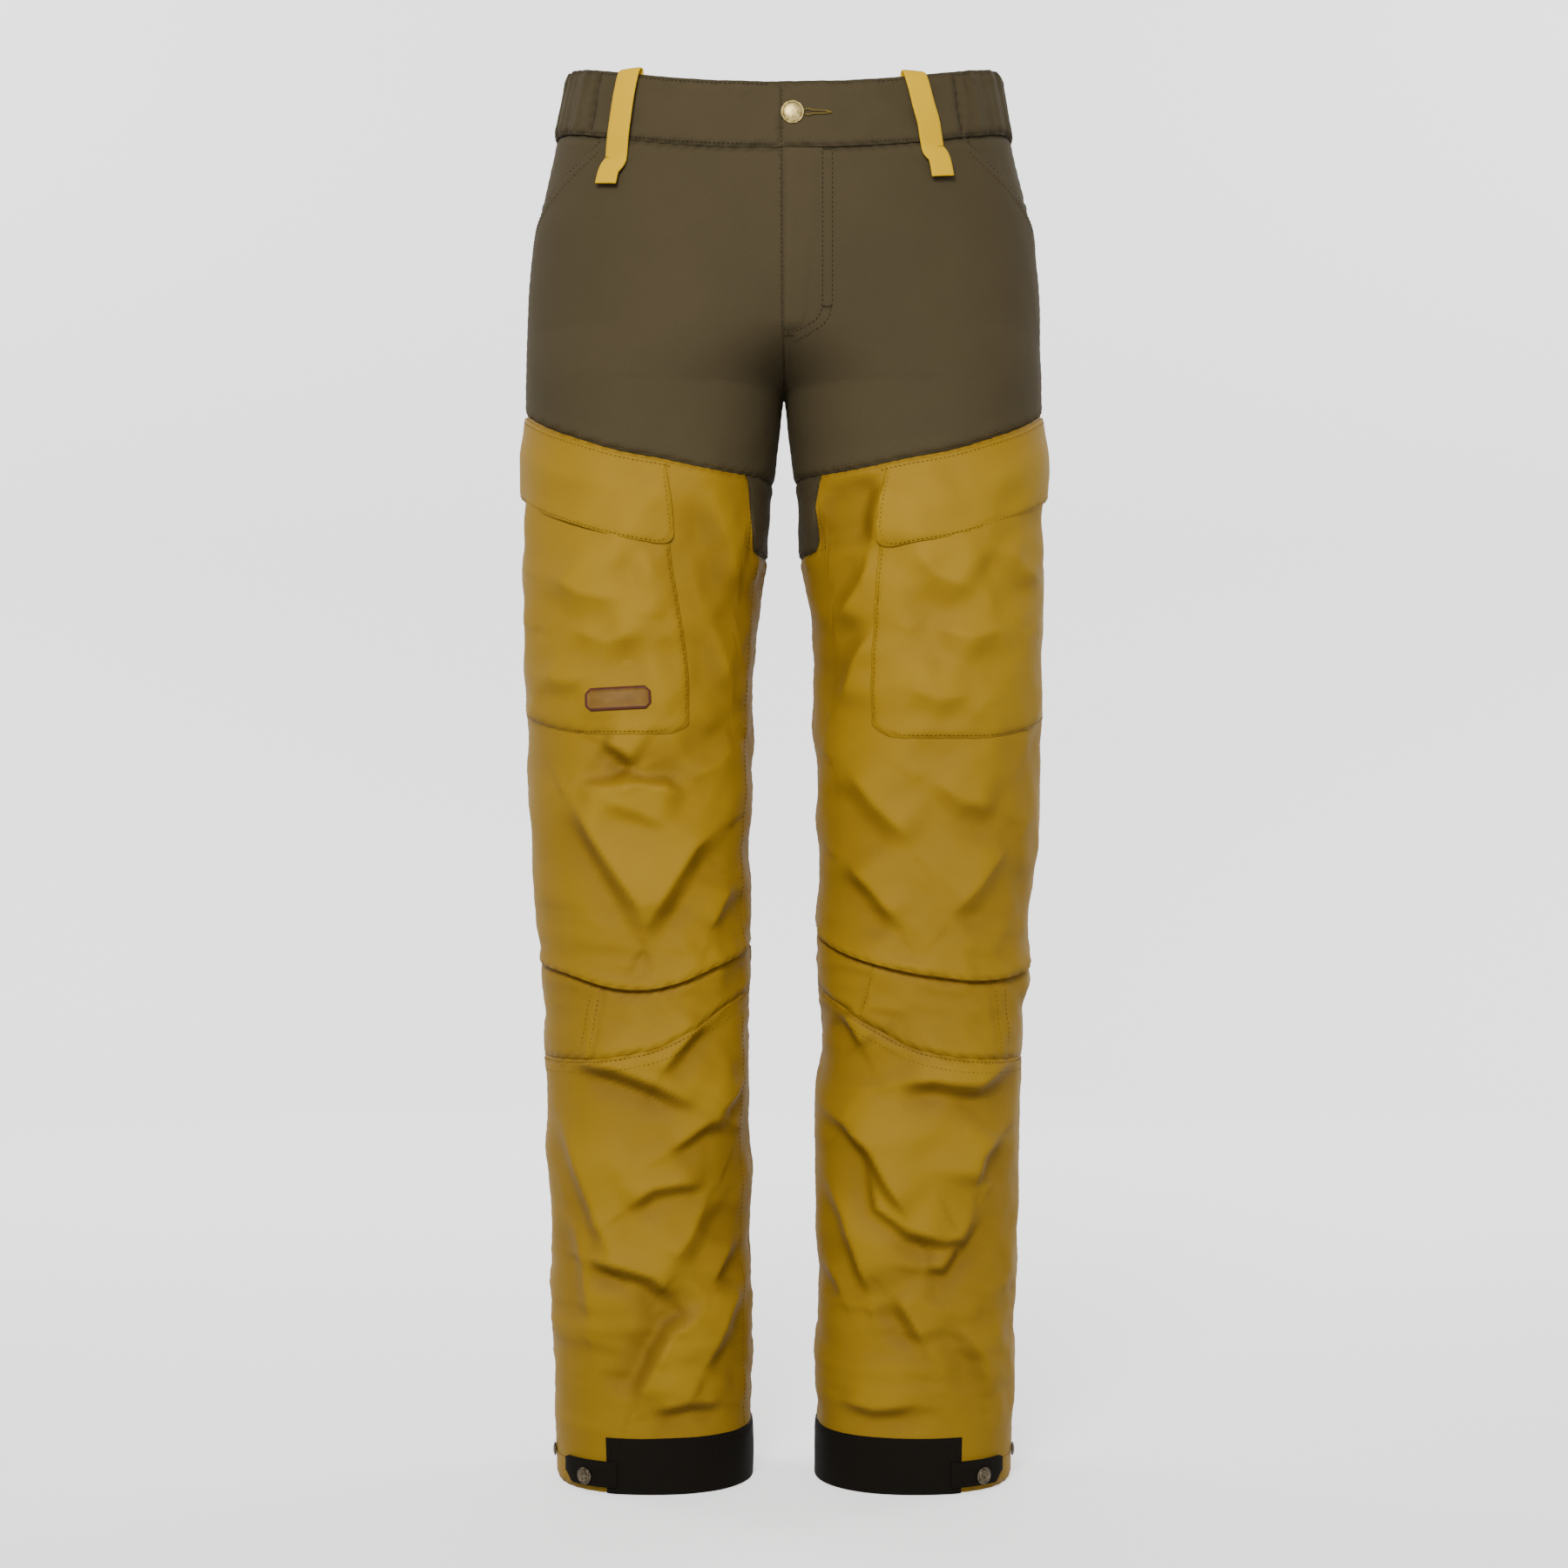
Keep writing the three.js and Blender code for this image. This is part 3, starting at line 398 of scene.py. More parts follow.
def column_line(segments, h):
    """Columns along (side, from, to) stretches, as arrays of side, round and distance."""
    sides, rounds = [], []
    for side, start, end in segments:
        fine = np.linspace(start, end, 240)
        if sides:
            fine = fine[1:]
        sides += [side] * len(fine)
        rounds += list(fine)
    sides, rounds = np.array(sides, float), np.array(rounds)
    at = np.broadcast_to(h(rounds), rounds.shape)
    path = on_surface(sides, rounds, at)[0]
    path[:, 2] = 0
    run = np.concatenate([[0], np.cumsum(np.linalg.norm(np.diff(path, axis=0), axis=1))])
    return sides, rounds, run


def mesh_object(name, vertices, faces, uv=None, painted_shade=None):
    mesh = bpy.data.meshes.new(name)
    mesh.from_pydata(np.asarray(vertices).tolist(), [], faces)
    if uv is not None:
        layer = mesh.uv_layers.new(name="weave")
        corner = np.empty(len(mesh.loops), int)
        mesh.loops.foreach_get("vertex_index", corner)
        layer.data.foreach_set("uv", np.asarray(uv, np.float32)[corner].ravel())
    # This attribute carries painted shade from the folds into the cloth's colour.
    if painted_shade is not None:
        attribute = mesh.attributes.new("painted_shade", "FLOAT", "POINT")
        attribute.data.foreach_set("value", np.asarray(painted_shade, np.float32))
    mesh.polygons.foreach_set("use_smooth", [True] * len(mesh.polygons))
    obj = bpy.data.objects.new(name, mesh)
    bpy.context.scene.collection.objects.link(obj)
    return obj


def grid_faces(rows, columns, start, flip):
    index = start + np.arange(rows * columns).reshape(rows, columns)
    quads = np.stack([index[:-1, :-1], index[:-1, 1:], index[1:, 1:], index[1:, :-1]], -1).reshape(-1, 4)
    return (quads[:, ::-1] if flip else quads).tolist()


def shell(name, outer, inner, uv, painted_shade, flip):
    """Closes two grids of points, rows by columns, into one sheet of cloth."""
    rows, columns = outer.shape[:2]
    count = rows * columns
    faces = grid_faces(rows, columns, 0, flip) + grid_faces(rows, columns, count, not flip)
    index = np.arange(count).reshape(rows, columns)
    rim = np.concatenate([index[0, :-1], index[:-1, -1], index[-1, :0:-1], index[:0:-1, 0]])
    after = np.roll(rim, -1)
    sides = np.stack([after, rim, rim + count, after + count], -1)
    faces += (sides[:, ::-1] if flip else sides).tolist()
    points = np.concatenate([outer.reshape(-1, 3), inner.reshape(-1, 3)])
    uvs = np.concatenate([uv.reshape(-1, 2), uv.reshape(-1, 2)])
    # Painted shade from the folds, the same on both faces.
    folds = np.concatenate([painted_shade.ravel(), painted_shade.ravel()])
    return mesh_object(name, points, faces, uvs, folds)


def panel(name, segments, low, high, material, out=0.0, lift=None, edges="lrbt", thick=CLOTH,
          folded=True, pucker=0.35, step=STEP, slide=None, dip=1.3):
    """A sewn panel between two edges. edges names the sides that turn under at a seam: left, right,
    bottom, top. lift(side, round, height, across, up) raises it further off the garment, and
    slide(across, height) leans its columns."""
    sides, rounds, run = column_line(segments, lambda r: (low(r) + high(r)) / 2)
    at = stations(run[-1], step)
    column_round = np.interp(at, run, rounds)
    column_side = sides[np.clip(np.searchsorted(run, at), 0, len(sides) - 1)]
    tall = float(np.mean(high(column_round) - low(column_round)))
    up = stations(tall, step) / tall
    foot, head = low(column_round), high(column_round)
    h = foot + (head - foot) * up[:, None]
    r = np.broadcast_to(column_round, h.shape)
    if slide is not None:
        r = r + slide(at / run[-1], h)
    side = np.broadcast_to(column_side, h.shape)
    across_mm = np.broadcast_to(at, h.shape)
    up_mm = h - foot
    away = np.full(h.shape, 1e3)
    for letter, distance in (("l", across_mm), ("r", run[-1] - across_mm), ("b", up_mm), ("t", head - h)):
        if letter in edges:
            away = np.minimum(away, distance)
    seam = -dip * np.exp(-((away / 2.0) ** 2)) + 0.35 * dip * np.exp(-(((away - 6.5) / 3.5) ** 2))
    seam += pucker * np.exp(-away / 7) * np.sin((across_mm + 1.4 * up_mm) / 1.9)
    rise = seam
    if lift is not None:
        rise = rise + lift(side, r, h, across_mm / run[-1], np.broadcast_to(up[:, None], h.shape))
    folds = body_shape(side, r, h) if folded else np.zeros(h.shape)
    point, normal = on_surface(side, r, h, out + rise + folds)
    outer, inner = place(point), place(point - normal * thick)
    uv = np.stack([across_mm, h], -1) * MM
    first = segments[0][0] * (1 if segments[0][2] > segments[0][1] else -1)
    # Painted shade for the cloth's colour: raised cloth painted lighter, sunk cloth and steep fold sides
    # painted darker.
    whole = folds + rise
    steep = np.hypot(np.gradient(whole, axis=1) / np.gradient(at), np.gradient(whole, axis=0)
                     / np.maximum(np.gradient(h, axis=0), 0.2))
    shade = np.clip(whole / 12, -0.5, 0.5) - 1.1 * np.clip(steep - 0.08, 0, 0.7)
    obj = shell(name, outer, inner, uv, shade, first < 0)
    obj.data.materials.append(material)
    return obj


def seam_path(points, step=1.0):
    """A dense line through (side, round, height) points, as three arrays."""
    points = np.array(points, float)
    span = np.linalg.norm(np.diff(points * (0, 280, 1), axis=0), axis=1)
    run = np.concatenate([[0], np.cumsum(span)])
    at = np.arange(0, run[-1], step)
    return [np.interp(at, run, points[:, i]) for i in range(3)]


def thread(name, paths, material, out=0.25, length=2.5, gap=1.1, width=0.34, lift=None, folded=True):
    """Topstitching: a row of short raised stitches along each path on the garment."""
    rings, faces = [], []
    for path in paths:
        side, r, h = seam_path(path)
        rise = out if lift is None else out + lift(side, r, h)
        point, normal = skin(side, r, h, rise, folded)
        step = np.linalg.norm(np.diff(point, axis=0), axis=1)
        run = np.concatenate([[0], np.cumsum(step)])
        starts = np.arange(0, max(run[-1] - length, 0.01), length + gap)
        for axis_at in starts:
            ends = [np.array([np.interp(axis_at + d, run, point[:, i]) for i in range(3)])
                    for d in (0, length / 2, length)]
            up = np.array([np.interp(axis_at + length / 2, run, normal[:, i]) for i in range(3)])
            along = (ends[2] - ends[0]) / (np.linalg.norm(ends[2] - ends[0]) + 1e-9)
            across = np.cross(along, up)
            across /= np.linalg.norm(across) + 1e-9
            first = len(rings)
            tips = (ends[0] - up * 0.3, ends[2] - up * 0.3)
            middle = ends[1]
            rings += [tips[0], middle + across * width, middle + up * width, middle - across * width,
                      middle - up * 0.3, tips[1]]
            for a, b in ((1, 2), (2, 3), (3, 4), (4, 1)):
                faces += [(first, first + b, first + a), (first + 5, first + a, first + b)]
    obj = mesh_object(name, place(rings), faces)
    obj.data.materials.append(material)
    return obj


# ---------------------------------------------------------------- materials
def new_material(name):
    material = bpy.data.materials.new(name)
    material.use_nodes = True
    nodes, links = material.node_tree.nodes, material.node_tree.links
    return material, nodes, links, nodes["Principled BSDF"]


def srgb(r, g, b):
    """A colour written as 0 to 255 on a screen, as the shader wants it."""
    def linear(v):
        v /= 255
        return v / 12.92 if v <= 0.04045 else ((v + 0.055) / 1.055) ** 2.4
    return (linear(r), linear(g), linear(b), 1)


def math_node(nodes, links, operation, a, b):
    node = nodes.new("ShaderNodeMath")
    node.operation = operation
    for socket, value in zip(node.inputs, (a, b)):
        if isinstance(value, (int, float)):
            socket.default_value = value
        else:
            links.new(value, socket)
    return node.outputs[0]


def ramp(nodes, links, value, stops):
    node = nodes.new("ShaderNodeValToRGB")
    while len(node.color_ramp.elements) < len(stops):
        node.color_ramp.elements.new(0.5)
    for element, (position, colour) in zip(node.color_ramp.elements, stops):
        element.position = position
        element.color = colour
    links.new(value, node.inputs[0])
    return node.outputs[0]


def add_noise(nodes, links, coordinates, scale, detail):
    noise = nodes.new("ShaderNodeTexNoise")
    noise.inputs["Scale"].default_value = scale
    noise.inputs["Detail"].default_value = detail
    links.new(coordinates.outputs["Object"], noise.inputs["Vector"])
    return noise


def add_relief(nodes, links, shader, height, strength, depth):
    """Bump from a height, depth in millimetres."""
    relief = nodes.new("ShaderNodeBump")
    relief.inputs["Strength"].default_value = strength
    relief.inputs["Distance"].default_value = depth * MM
    links.new(height, relief.inputs["Height"])
    links.new(relief.outputs[0], shader.inputs["Normal"])


def cloth_material(name, dark, middle, light, weave=0.9, twill=True, rough=0.78, sheen=0.04,
                   bump=0.14, gloss=0.12):
    """Woven cloth: threads in bump and tone, uneven dye, and painted shade: folds painted a little darker
    in and lighter out.
    """
    material, nodes, links, shader = new_material(name)
    uv = nodes.new("ShaderNodeUVMap")
    uv.uv_map = "weave"
    turn = nodes.new("ShaderNodeMapping")
    turn.inputs["Rotation"].default_value = (0, 0, math.radians(28 if twill else 0))
    links.new(uv.outputs[0], turn.inputs[0])
    heights = []
    for direction in ("X", "Y"):
        wave = nodes.new("ShaderNodeTexWave")
        wave.bands_direction = direction
        wave.wave_profile = "SIN"
        wave.inputs["Scale"].default_value = 314 / weave / (1 if direction == "X" else 1.35)
        wave.inputs["Distortion"].default_value = 0.6
        wave.inputs["Detail Scale"].default_value = 3
        links.new(turn.outputs[0], wave.inputs["Vector"])
        heights.append(wave.outputs["Fac"])
    weight = 0.3 if twill else 0.9
    threads = math_node(nodes, links, "ADD", heights[0],
                        math_node(nodes, links, "MULTIPLY", heights[1], weight))
    coordinates = nodes.new("ShaderNodeTexCoord")
    slub = add_noise(nodes, links, coordinates, 900, 3)
    cloud = add_noise(nodes, links, coordinates, 6, 6)
    cloud.inputs["Roughness"].default_value = 0.6
    # Painted shade: this attribute darkens the colour in the folds' valleys and on their steep sides and
    # lightens their crests.
    painted_shade = nodes.new("ShaderNodeAttribute")
    painted_shade.attribute_name = "painted_shade"
    tone = math_node(nodes, links, "MULTIPLY", painted_shade.outputs["Fac"], 0.3)
    tone = math_node(nodes, links, "ADD", tone, 0.30)
    tone = math_node(nodes, links, "ADD", tone,
                     math_node(nodes, links, "MULTIPLY", cloud.outputs["Fac"], 0.28))
    tone = math_node(nodes, links, "ADD", tone,
                     math_node(nodes, links, "MULTIPLY", slub.outputs["Fac"], 0.12))
    tone = math_node(nodes, links, "ADD", tone, math_node(nodes, links, "MULTIPLY", threads, 0.05))
    colour = ramp(nodes, links, tone, [(0.15, dark), (0.55, middle), (0.9, light)])
    links.new(colour, shader.inputs["Base Color"])
    height = math_node(nodes, links, "ADD", threads,
                       math_node(nodes, links, "MULTIPLY", slub.outputs["Fac"], 1.4))
    add_relief(nodes, links, shader, height, 0.55, bump)
    shader.inputs["Roughness"].default_value = rough
    shader.inputs["Specular IOR Level"].default_value = gloss
    shader.inputs["Sheen Weight"].default_value = sheen
    shader.inputs["Sheen Roughness"].default_value = 0.5
    shader.inputs["Sheen Tint"].default_value = light
    return material


def metal_material(name, base, worn, rough=0.34):
    """Antiqued metal: noise mottles it between a darker tone and a worn, lighter and rougher one, with a
    faint bump.
    """
    material, nodes, links, shader = new_material(name)
    coordinates = nodes.new("ShaderNodeTexCoord")
    noise = add_noise(nodes, links, coordinates, 420, 5)
    colour = ramp(nodes, links, noise.outputs["Fac"], [(0.35, base), (0.68, worn)])
    links.new(colour, shader.inputs["Base Color"])
    rougher = nodes.new("ShaderNodeMapRange")
    rougher.inputs["To Min"].default_value = rough - 0.08
    rougher.inputs["To Max"].default_value = rough + 0.16
    links.new(noise.outputs["Fac"], rougher.inputs["Value"])
    links.new(rougher.outputs[0], shader.inputs["Roughness"])
    add_relief(nodes, links, shader, noise.outputs["Fac"], 0.25, 0.08)
    shader.inputs["Metallic"].default_value = 1
    return material


def leather_material(name, dark, light):
    """Smooth imitation leather with a fine grain and uneven colour."""
    material, nodes, links, shader = new_material(name)
    coordinates = nodes.new("ShaderNodeTexCoord")
    cells = nodes.new("ShaderNodeTexVoronoi")
    cells.inputs["Scale"].default_value = 1100
    links.new(coordinates.outputs["Object"], cells.inputs["Vector"])
    cloud = add_noise(nodes, links, coordinates, 160, 5)
    colour = ramp(nodes, links, cloud.outputs["Fac"], [(0.3, dark), (0.7, light)])
    links.new(colour, shader.inputs["Base Color"])
    add_relief(nodes, links, shader, cells.outputs["Distance"], 0.35, 0.1)
    shader.inputs["Roughness"].default_value = 0.62
    shader.inputs["Specular IOR Level"].default_value = 0.25
    return material


DARK = cloth_material("dark stretch cloth", srgb(50, 43, 28), srgb(74, 64, 43), srgb(88, 76, 53),
                      weave=0.55, rough=0.85, bump=0.07)
MUSTARD = cloth_material("mustard twill", srgb(104, 74, 6), srgb(154, 118, 14), srgb(174, 138, 26),
                         weave=0.7, rough=0.62, bump=0.09, gloss=0.14)
YELLOW = cloth_material("yellow loop cloth", srgb(200, 158, 0), srgb(226, 180, 4), srgb(236, 194, 14),
                        weave=0.8, rough=0.75, bump=0.12)
BLACK = cloth_material("black kick cloth", srgb(12, 10, 7), srgb(20, 17, 12), srgb(32, 28, 21),
                       weave=0.9, rough=0.8, sheen=0.0, bump=0.14, gloss=0.06)
LINING = cloth_material("pocketing", srgb(44, 39, 29), srgb(62, 56, 43), srgb(80, 73, 58),
                        weave=0.5, twill=False)
ZIP_TAPE = cloth_material("zip tape", srgb(30, 27, 20), srgb(44, 40, 30), srgb(60, 55, 43), weave=0.6)
DARK_THREAD = cloth_material("dark thread", srgb(40, 34, 22), srgb(54, 46, 30), srgb(68, 58, 40),
                             weave=0.3, sheen=0.2)
MUSTARD_THREAD = cloth_material("mustard thread", srgb(84, 60, 6), srgb(112, 82, 10),
                                srgb(140, 108, 18), weave=0.3, sheen=0.2)
BLACK_THREAD = cloth_material("black thread", srgb(16, 14, 11), srgb(34, 30, 23), srgb(46, 41, 33),
                              weave=0.3)
GOLD_THREAD = cloth_material("gold thread", srgb(140, 118, 44), srgb(170, 146, 62), srgb(192, 168, 84),
                             weave=0.3, sheen=0.2)
BRASS = metal_material("antique brass", srgb(118, 102, 60), srgb(168, 150, 100))
GUNMETAL = metal_material("gunmetal", srgb(46, 41, 34), srgb(98, 88, 70), 0.3)
PATCH = leather_material("patch leather", srgb(112, 78, 16), srgb(126, 90, 24))
PATCH_EDGE = leather_material("patch border", srgb(70, 30, 14), srgb(86, 39, 20))


# ---------------------------------------------------------------- the garment's panels
PIECES = []


def keep(obj, body, *nodes, slot=None):
    """Files a finished piece with what it rides on, and hides the CAD nodes it stands for."""
    if nodes:
        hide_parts(*nodes)
    PIECES.append((obj, body))


SLOTS = {DARK.name: "dark_stretch", MUSTARD.name: "mustard_cloth", BLACK.name: "black_cloth"}


def sew(node, body, segments, low, high, material, **finish):
    """A panel that stands for the CAD node of the same name."""
    piece = panel(f"{node}_cloth", segments, low, high, material, **finish)
    keep(piece, body, node, slot=SLOTS[material.name])


def cut(edge):
    return lambda r: edge(np.mod(r, FULL_ROUND))


def flat(height):
    return lambda r: np.full(np.shape(r), float(height))


def crease(distance, depth=1.1):
    """A seam's valley and the roll of cloth beside it."""
    return -depth * np.exp(-((distance / 1.5) ** 2)) + 0.5 * np.exp(-(((distance - 4) / 2.6) ** 2))


# Knee seams that run down the panel, as (distance from the middle, height) lines
KNEE_SEAMS = {
    -1: [[(133, 373), (140, 321)]],
    1: [[(64, 390), (54, 346)], [(153, 376), (156, 318)]],
}


def knee_rise(side, r, h, across, up):
    x = np.abs(on_surface(side, r, h)[0][..., 0])
    total = 0
    for (x0, h0), (x1, h1) in KNEE_SEAMS[int(side.flat[0])]:
        total = total + crease(x - (x0 + (x1 - x0) * (h - h0) / (h1 - h0)))
    return total


def make_legs(side, hand):
    leg = f"knee:{hand}"
    top = lambda r: knee_top(side, r)
    for name, rounds in (("front", (0.0, 1.0)), ("back", (1.0, 2.0))):
        sew(f"thigh_{name}_{hand}", leg, [(side, *rounds)], top, thigh_top, MUSTARD)
        sew(f"shin_{name}_{hand}", leg, [(side, *rounds)], flat(0), knee_foot if name == "front" else top,
            MUSTARD)
    sew(f"knee_panel_{hand}", leg, [(side, 0.0, 1.0)], knee_foot, top, MUSTARD, lift=knee_rise)
    sew(f"gusset_{hand}", "root", [(side, -GUSSET_REACH, GUSSET_REACH)], cut(gusset_foot), cut(yoke), DARK)
    sew(f"kick_panel_{hand}", f"lower_leg_{hand}", [(side, KICK_BACK - 2, KICK_FRONT)], flat(0),
        flat(KICK_DEPTH), BLACK, out=1.2, edges="lrt", pucker=0.05, dip=0.5)


CENTRE_LAP = 0.012


def back_yoke(r):
    """The seam across the seat's back, dropping towards the middle."""
    return WAIST_HEIGHT - 88 - 26 * np.clip(np.asarray(r) - 1, 0, 1)


def make_seat(side, hand):
    sew(f"front_panel_{hand}", "root", [(side, -CENTRE_LAP, 1.0)], cut(yoke),
        lambda r: np.minimum(band_foot(r), mouth_edge(np.maximum(r, MOUTH_START))), DARK)
    sew(f"pocket_facing_{hand}", "root", [(side, MOUTH_START - 0.04, 1.06)],
        lambda r: mouth_edge(np.clip(r, MOUTH_START, 1)) - 24, band_foot, DARK, out=-1.7, edges="t")
    sew(f"back_panel_{hand}", "root", [(side, 1.0, 2 + CENTRE_LAP)], cut(yoke), band_foot, DARK,
        lift=lambda s, r, h, across, up: crease(back_yoke(r) - h))


# ---------------------------------------------------------------- waistband and fly
ELASTIC_START = {-1: 0.58, 1: 0.5}
ELASTIC_END = 1.42
BAND_THICK = 1.8
FLY_EDGE = 4
FLY_FOOT = 845
FLY_WIDTH = 36
fly_edge = float(round_at(FLY_EDGE, WAIST_HEIGHT - 40))
fly_end = float(round_at(FLY_WIDTH, WAIST_HEIGHT - 120))


def gathers(side, r, h, across, up):
    """An elastic casing's upright tucks, deepest at its edges."""
    wave = np.sin(across * 62 + 1.5 * np.sin(across * 17)) + 0.5 * np.sin(across * 131 + 2 * up)
    ends = smooth(0, 0.06, across) * smooth(0, 0.06, 1 - across)
    return ends * wave * (0.45 + 0.55 * np.abs(2 * up - 1)) + 0.8 * np.sin(up * math.pi) * ends


def bunched(side, r, h, across, up):
    return 0.5 * ripple(across * 160, h, 21, 40)


def make_waistband():
    for side, hand in SIDES:
        stretches = [(side, 0.0, ELASTIC_START[side])]
        out = 0.5
        if side > 0:
            stretches = [(-1, fly_edge, 0.0)] + stretches
            out = 1.7
        sew(f"waistband_front_{hand}", "root", stretches, band_foot, waist_top, DARK, out=out,
            lift=bunched, thick=BAND_THICK)
        sew(f"waistband_elastic_{hand}", "root", [(side, ELASTIC_START[side], ELASTIC_END)], band_foot,
            waist_top, DARK, out=0.6, lift=gathers, thick=BAND_THICK, step=2.0)
    sew("waistband_back", "root", [(1, ELASTIC_END, 2.0), (-1, 2.0, ELASTIC_END)], band_foot, waist_top,
        DARK, out=0.5, lift=bunched, thick=BAND_THICK)


def fly_rise(side, r, h, across, up):
    """The fly's upper layer: proud at its free edge, sinking into the front beyond its stitches."""
    edge = 1.4 - 1.9 * smooth(0.1, 1.0, across)
    return edge - 3.0 * np.exp(-np.clip(h - fly_foot_at(across), 0, None) / 2.5)


def fly_foot_at(across):
    return FLY_FOOT + 26 * smooth(0.55, 1.0, across)


def make_fly():
    fly = panel("fly_overlap_cloth", [(-1, fly_edge, 0.0), (1, 0.0, fly_end)],
                flat(FLY_FOOT - 3), lambda r: band_foot(r) - 0.4, DARK, lift=fly_rise, edges="l",
                pucker=0.2, step=2.4)
    keep(fly, "root", slot="dark_stretch")


# ---------------------------------------------------------------- cargo pockets
GIRTH = 235
CARGO_OUTER = 0.965
CARGO_CORNER = 25
CARGO_FOOT = {-1: 556, 1: 553}
# Inner edges as (height, distance from the middle). The two sides differ, and both pockets reach
# further in than their CAD solids: the left by 12.7 mm and the right by 6.7 mm.
CARGO_EDGES = {
    -1: [(540, 69), (592, 69), (614, 70.5), (656, 77), (692, 82), (760, 85)],
    1: [(540, 64.5), (600, 64.8), (650, 67), (700, 70), (760, 73)],
}
FLAP_OUTER = 1.03
FLAP_CORNER = 10
FLAP_DEPTH = 62
FLAP_EDGES = {-1: [(670, 79), (712, 80.5), (752, 85), (780, 86)],
              1: [(670, 67), (712, 69), (752, 74), (780, 75)]}


def edge_rounds(points):
    return profile([(h, float(round_at(x, h))) for h, x in points])


cargo_inner = {side: edge_rounds(CARGO_EDGES[side]) for side in (-1, 1)}
flap_inner = {side: edge_rounds(FLAP_EDGES[side]) for side in (-1, 1)}


def rounded(distance, radius):
    """How far a rounded corner lifts the edge at this distance from its side."""
    short = np.clip(radius - distance, 0, radius)
    return radius - np.sqrt(np.maximum(radius**2 - short**2, 0))


def cargo_foot(side, r):
    start = cargo_inner[side](CARGO_FOOT[side] + 30)
    distance = (r - start) * GIRTH
    return CARGO_FOOT[side] + 15 * smooth(0.6, 1.0, r) + rounded(distance, CARGO_CORNER)



def cargo_rise(side, r, h):
    """How far the pocket's face stands off the thigh."""
    inner = cargo_inner[side](h)
    near = np.minimum(r - inner, CARGO_OUTER - r) * GIRTH
    low = h - CARGO_FOOT[side]
    full = smooth(0, 26, near) * smooth(0, 26, low)
    x = on_surface(side, r, h)[0][..., 0]
    slack = fold_height(x, h, POCKET_FOLDS[side]) + 0.8 * ripple(x, h, 31, 60)
    return 1.1 + 2.6 * full + 1.2 * slack * full


def flap_rise(side, r, h):
    """How far the flap's face stands off the thigh, over the pocket beneath it."""
    drop = np.clip((yoke(np.clip(r, 0, 2)) - h) / FLAP_DEPTH, 0, 1)
    near = np.minimum(r - flap_inner[side](h), FLAP_OUTER - r) * GIRTH
    full = smooth(0, 24, near)
    x = on_surface(side, r, h)[0][..., 0]
    return 1.5 + (1.2 + 2.9 * full) * smooth(0.02, 0.5, drop) + 0.6 * ripple(x, h, 41, 50) * full * drop


def make_cargo(side, hand):
    start = float(cargo_inner[side](640))
    sew(f"cargo_pocket_{hand}", "root", [(side, start, CARGO_OUTER)], lambda r: cargo_foot(side, r),
        lambda r: yoke(r) - 34, MUSTARD, edges="lrb", pucker=0.2, dip=0.9,
        lift=lambda s, r, h, across, up: cargo_rise(side, r, h),
        slide=lambda across, h: (1 - across) * (cargo_inner[side](h) - start))
    begin = float(flap_inner[side](720))
    sew(f"cargo_flap_{hand}", f"flap:{hand}", [(side, begin, FLAP_OUTER)],
        lambda r: yoke(r) - FLAP_DEPTH + rounded((r - begin) * GIRTH, FLAP_CORNER),
        lambda r: yoke(r) - 1, MUSTARD, pucker=0.15, thick=1.6, dip=0.6,
        lift=lambda s, r, h, across, up: flap_rise(side, r, h),
        slide=lambda across, h: (1 - across) * (flap_inner[side](h) - begin))


PATCH_CENTRE = (-120, 582)
PATCH_SIZE = (47, 17)
PATCH_TILT = math.radians(3)
PATCH_CLIP = 4.0


def make_patch():
    """A blank clipped-corner patch with a raised border, lying on the right cargo pocket."""
    half, tall = PATCH_SIZE[0] / 2, PATCH_SIZE[1] / 2
    v = tall * np.linspace(-1, 1, 45)[:, None]
    wide = half - np.clip(np.abs(v) - (tall - PATCH_CLIP), 0, None)
    u = wide * np.linspace(-1, 1, 121)
    v = np.broadcast_to(v, u.shape)
    inset = np.minimum(wide - np.abs(u), tall - np.abs(v))
    x = PATCH_CENTRE[0] + u * math.cos(PATCH_TILT) - v * math.sin(PATCH_TILT)
    h = PATCH_CENTRE[1] + u * math.sin(PATCH_TILT) + v * math.cos(PATCH_TILT)
    r = round_at(x, h)
    thick = 0.5 + 0.9 * smooth(0, 0.8, inset) - 0.45 * smooth(2.4, 3.0, inset)
    thick += 0.25 * np.exp(-(((inset - 1.7) / 0.5) ** 2))
    point, normal = skin(-1, r, h, cargo_rise(-1, r, h) + thick)
    under = point - normal * (thick[..., None] + 0.3)
    obj = shell("label_patch_leather", place(point), place(under), np.stack([u, v], -1) * MM,
                np.zeros(u.shape), False)
    obj.data.materials.append(PATCH)
    obj.data.materials.append(PATCH_EDGE)
    border = (inset[:-1, :-1] < 2.3).ravel()
    index = np.ones(len(obj.data.polygons), int)
    index[:border.size] = border
    obj.data.polygons.foreach_set("material_index", index)
    keep(obj, "root", "label_patch", slot="leather")


# ---------------------------------------------------------------- loops, tabs, metal
LOOP_WIDTH = 17.5


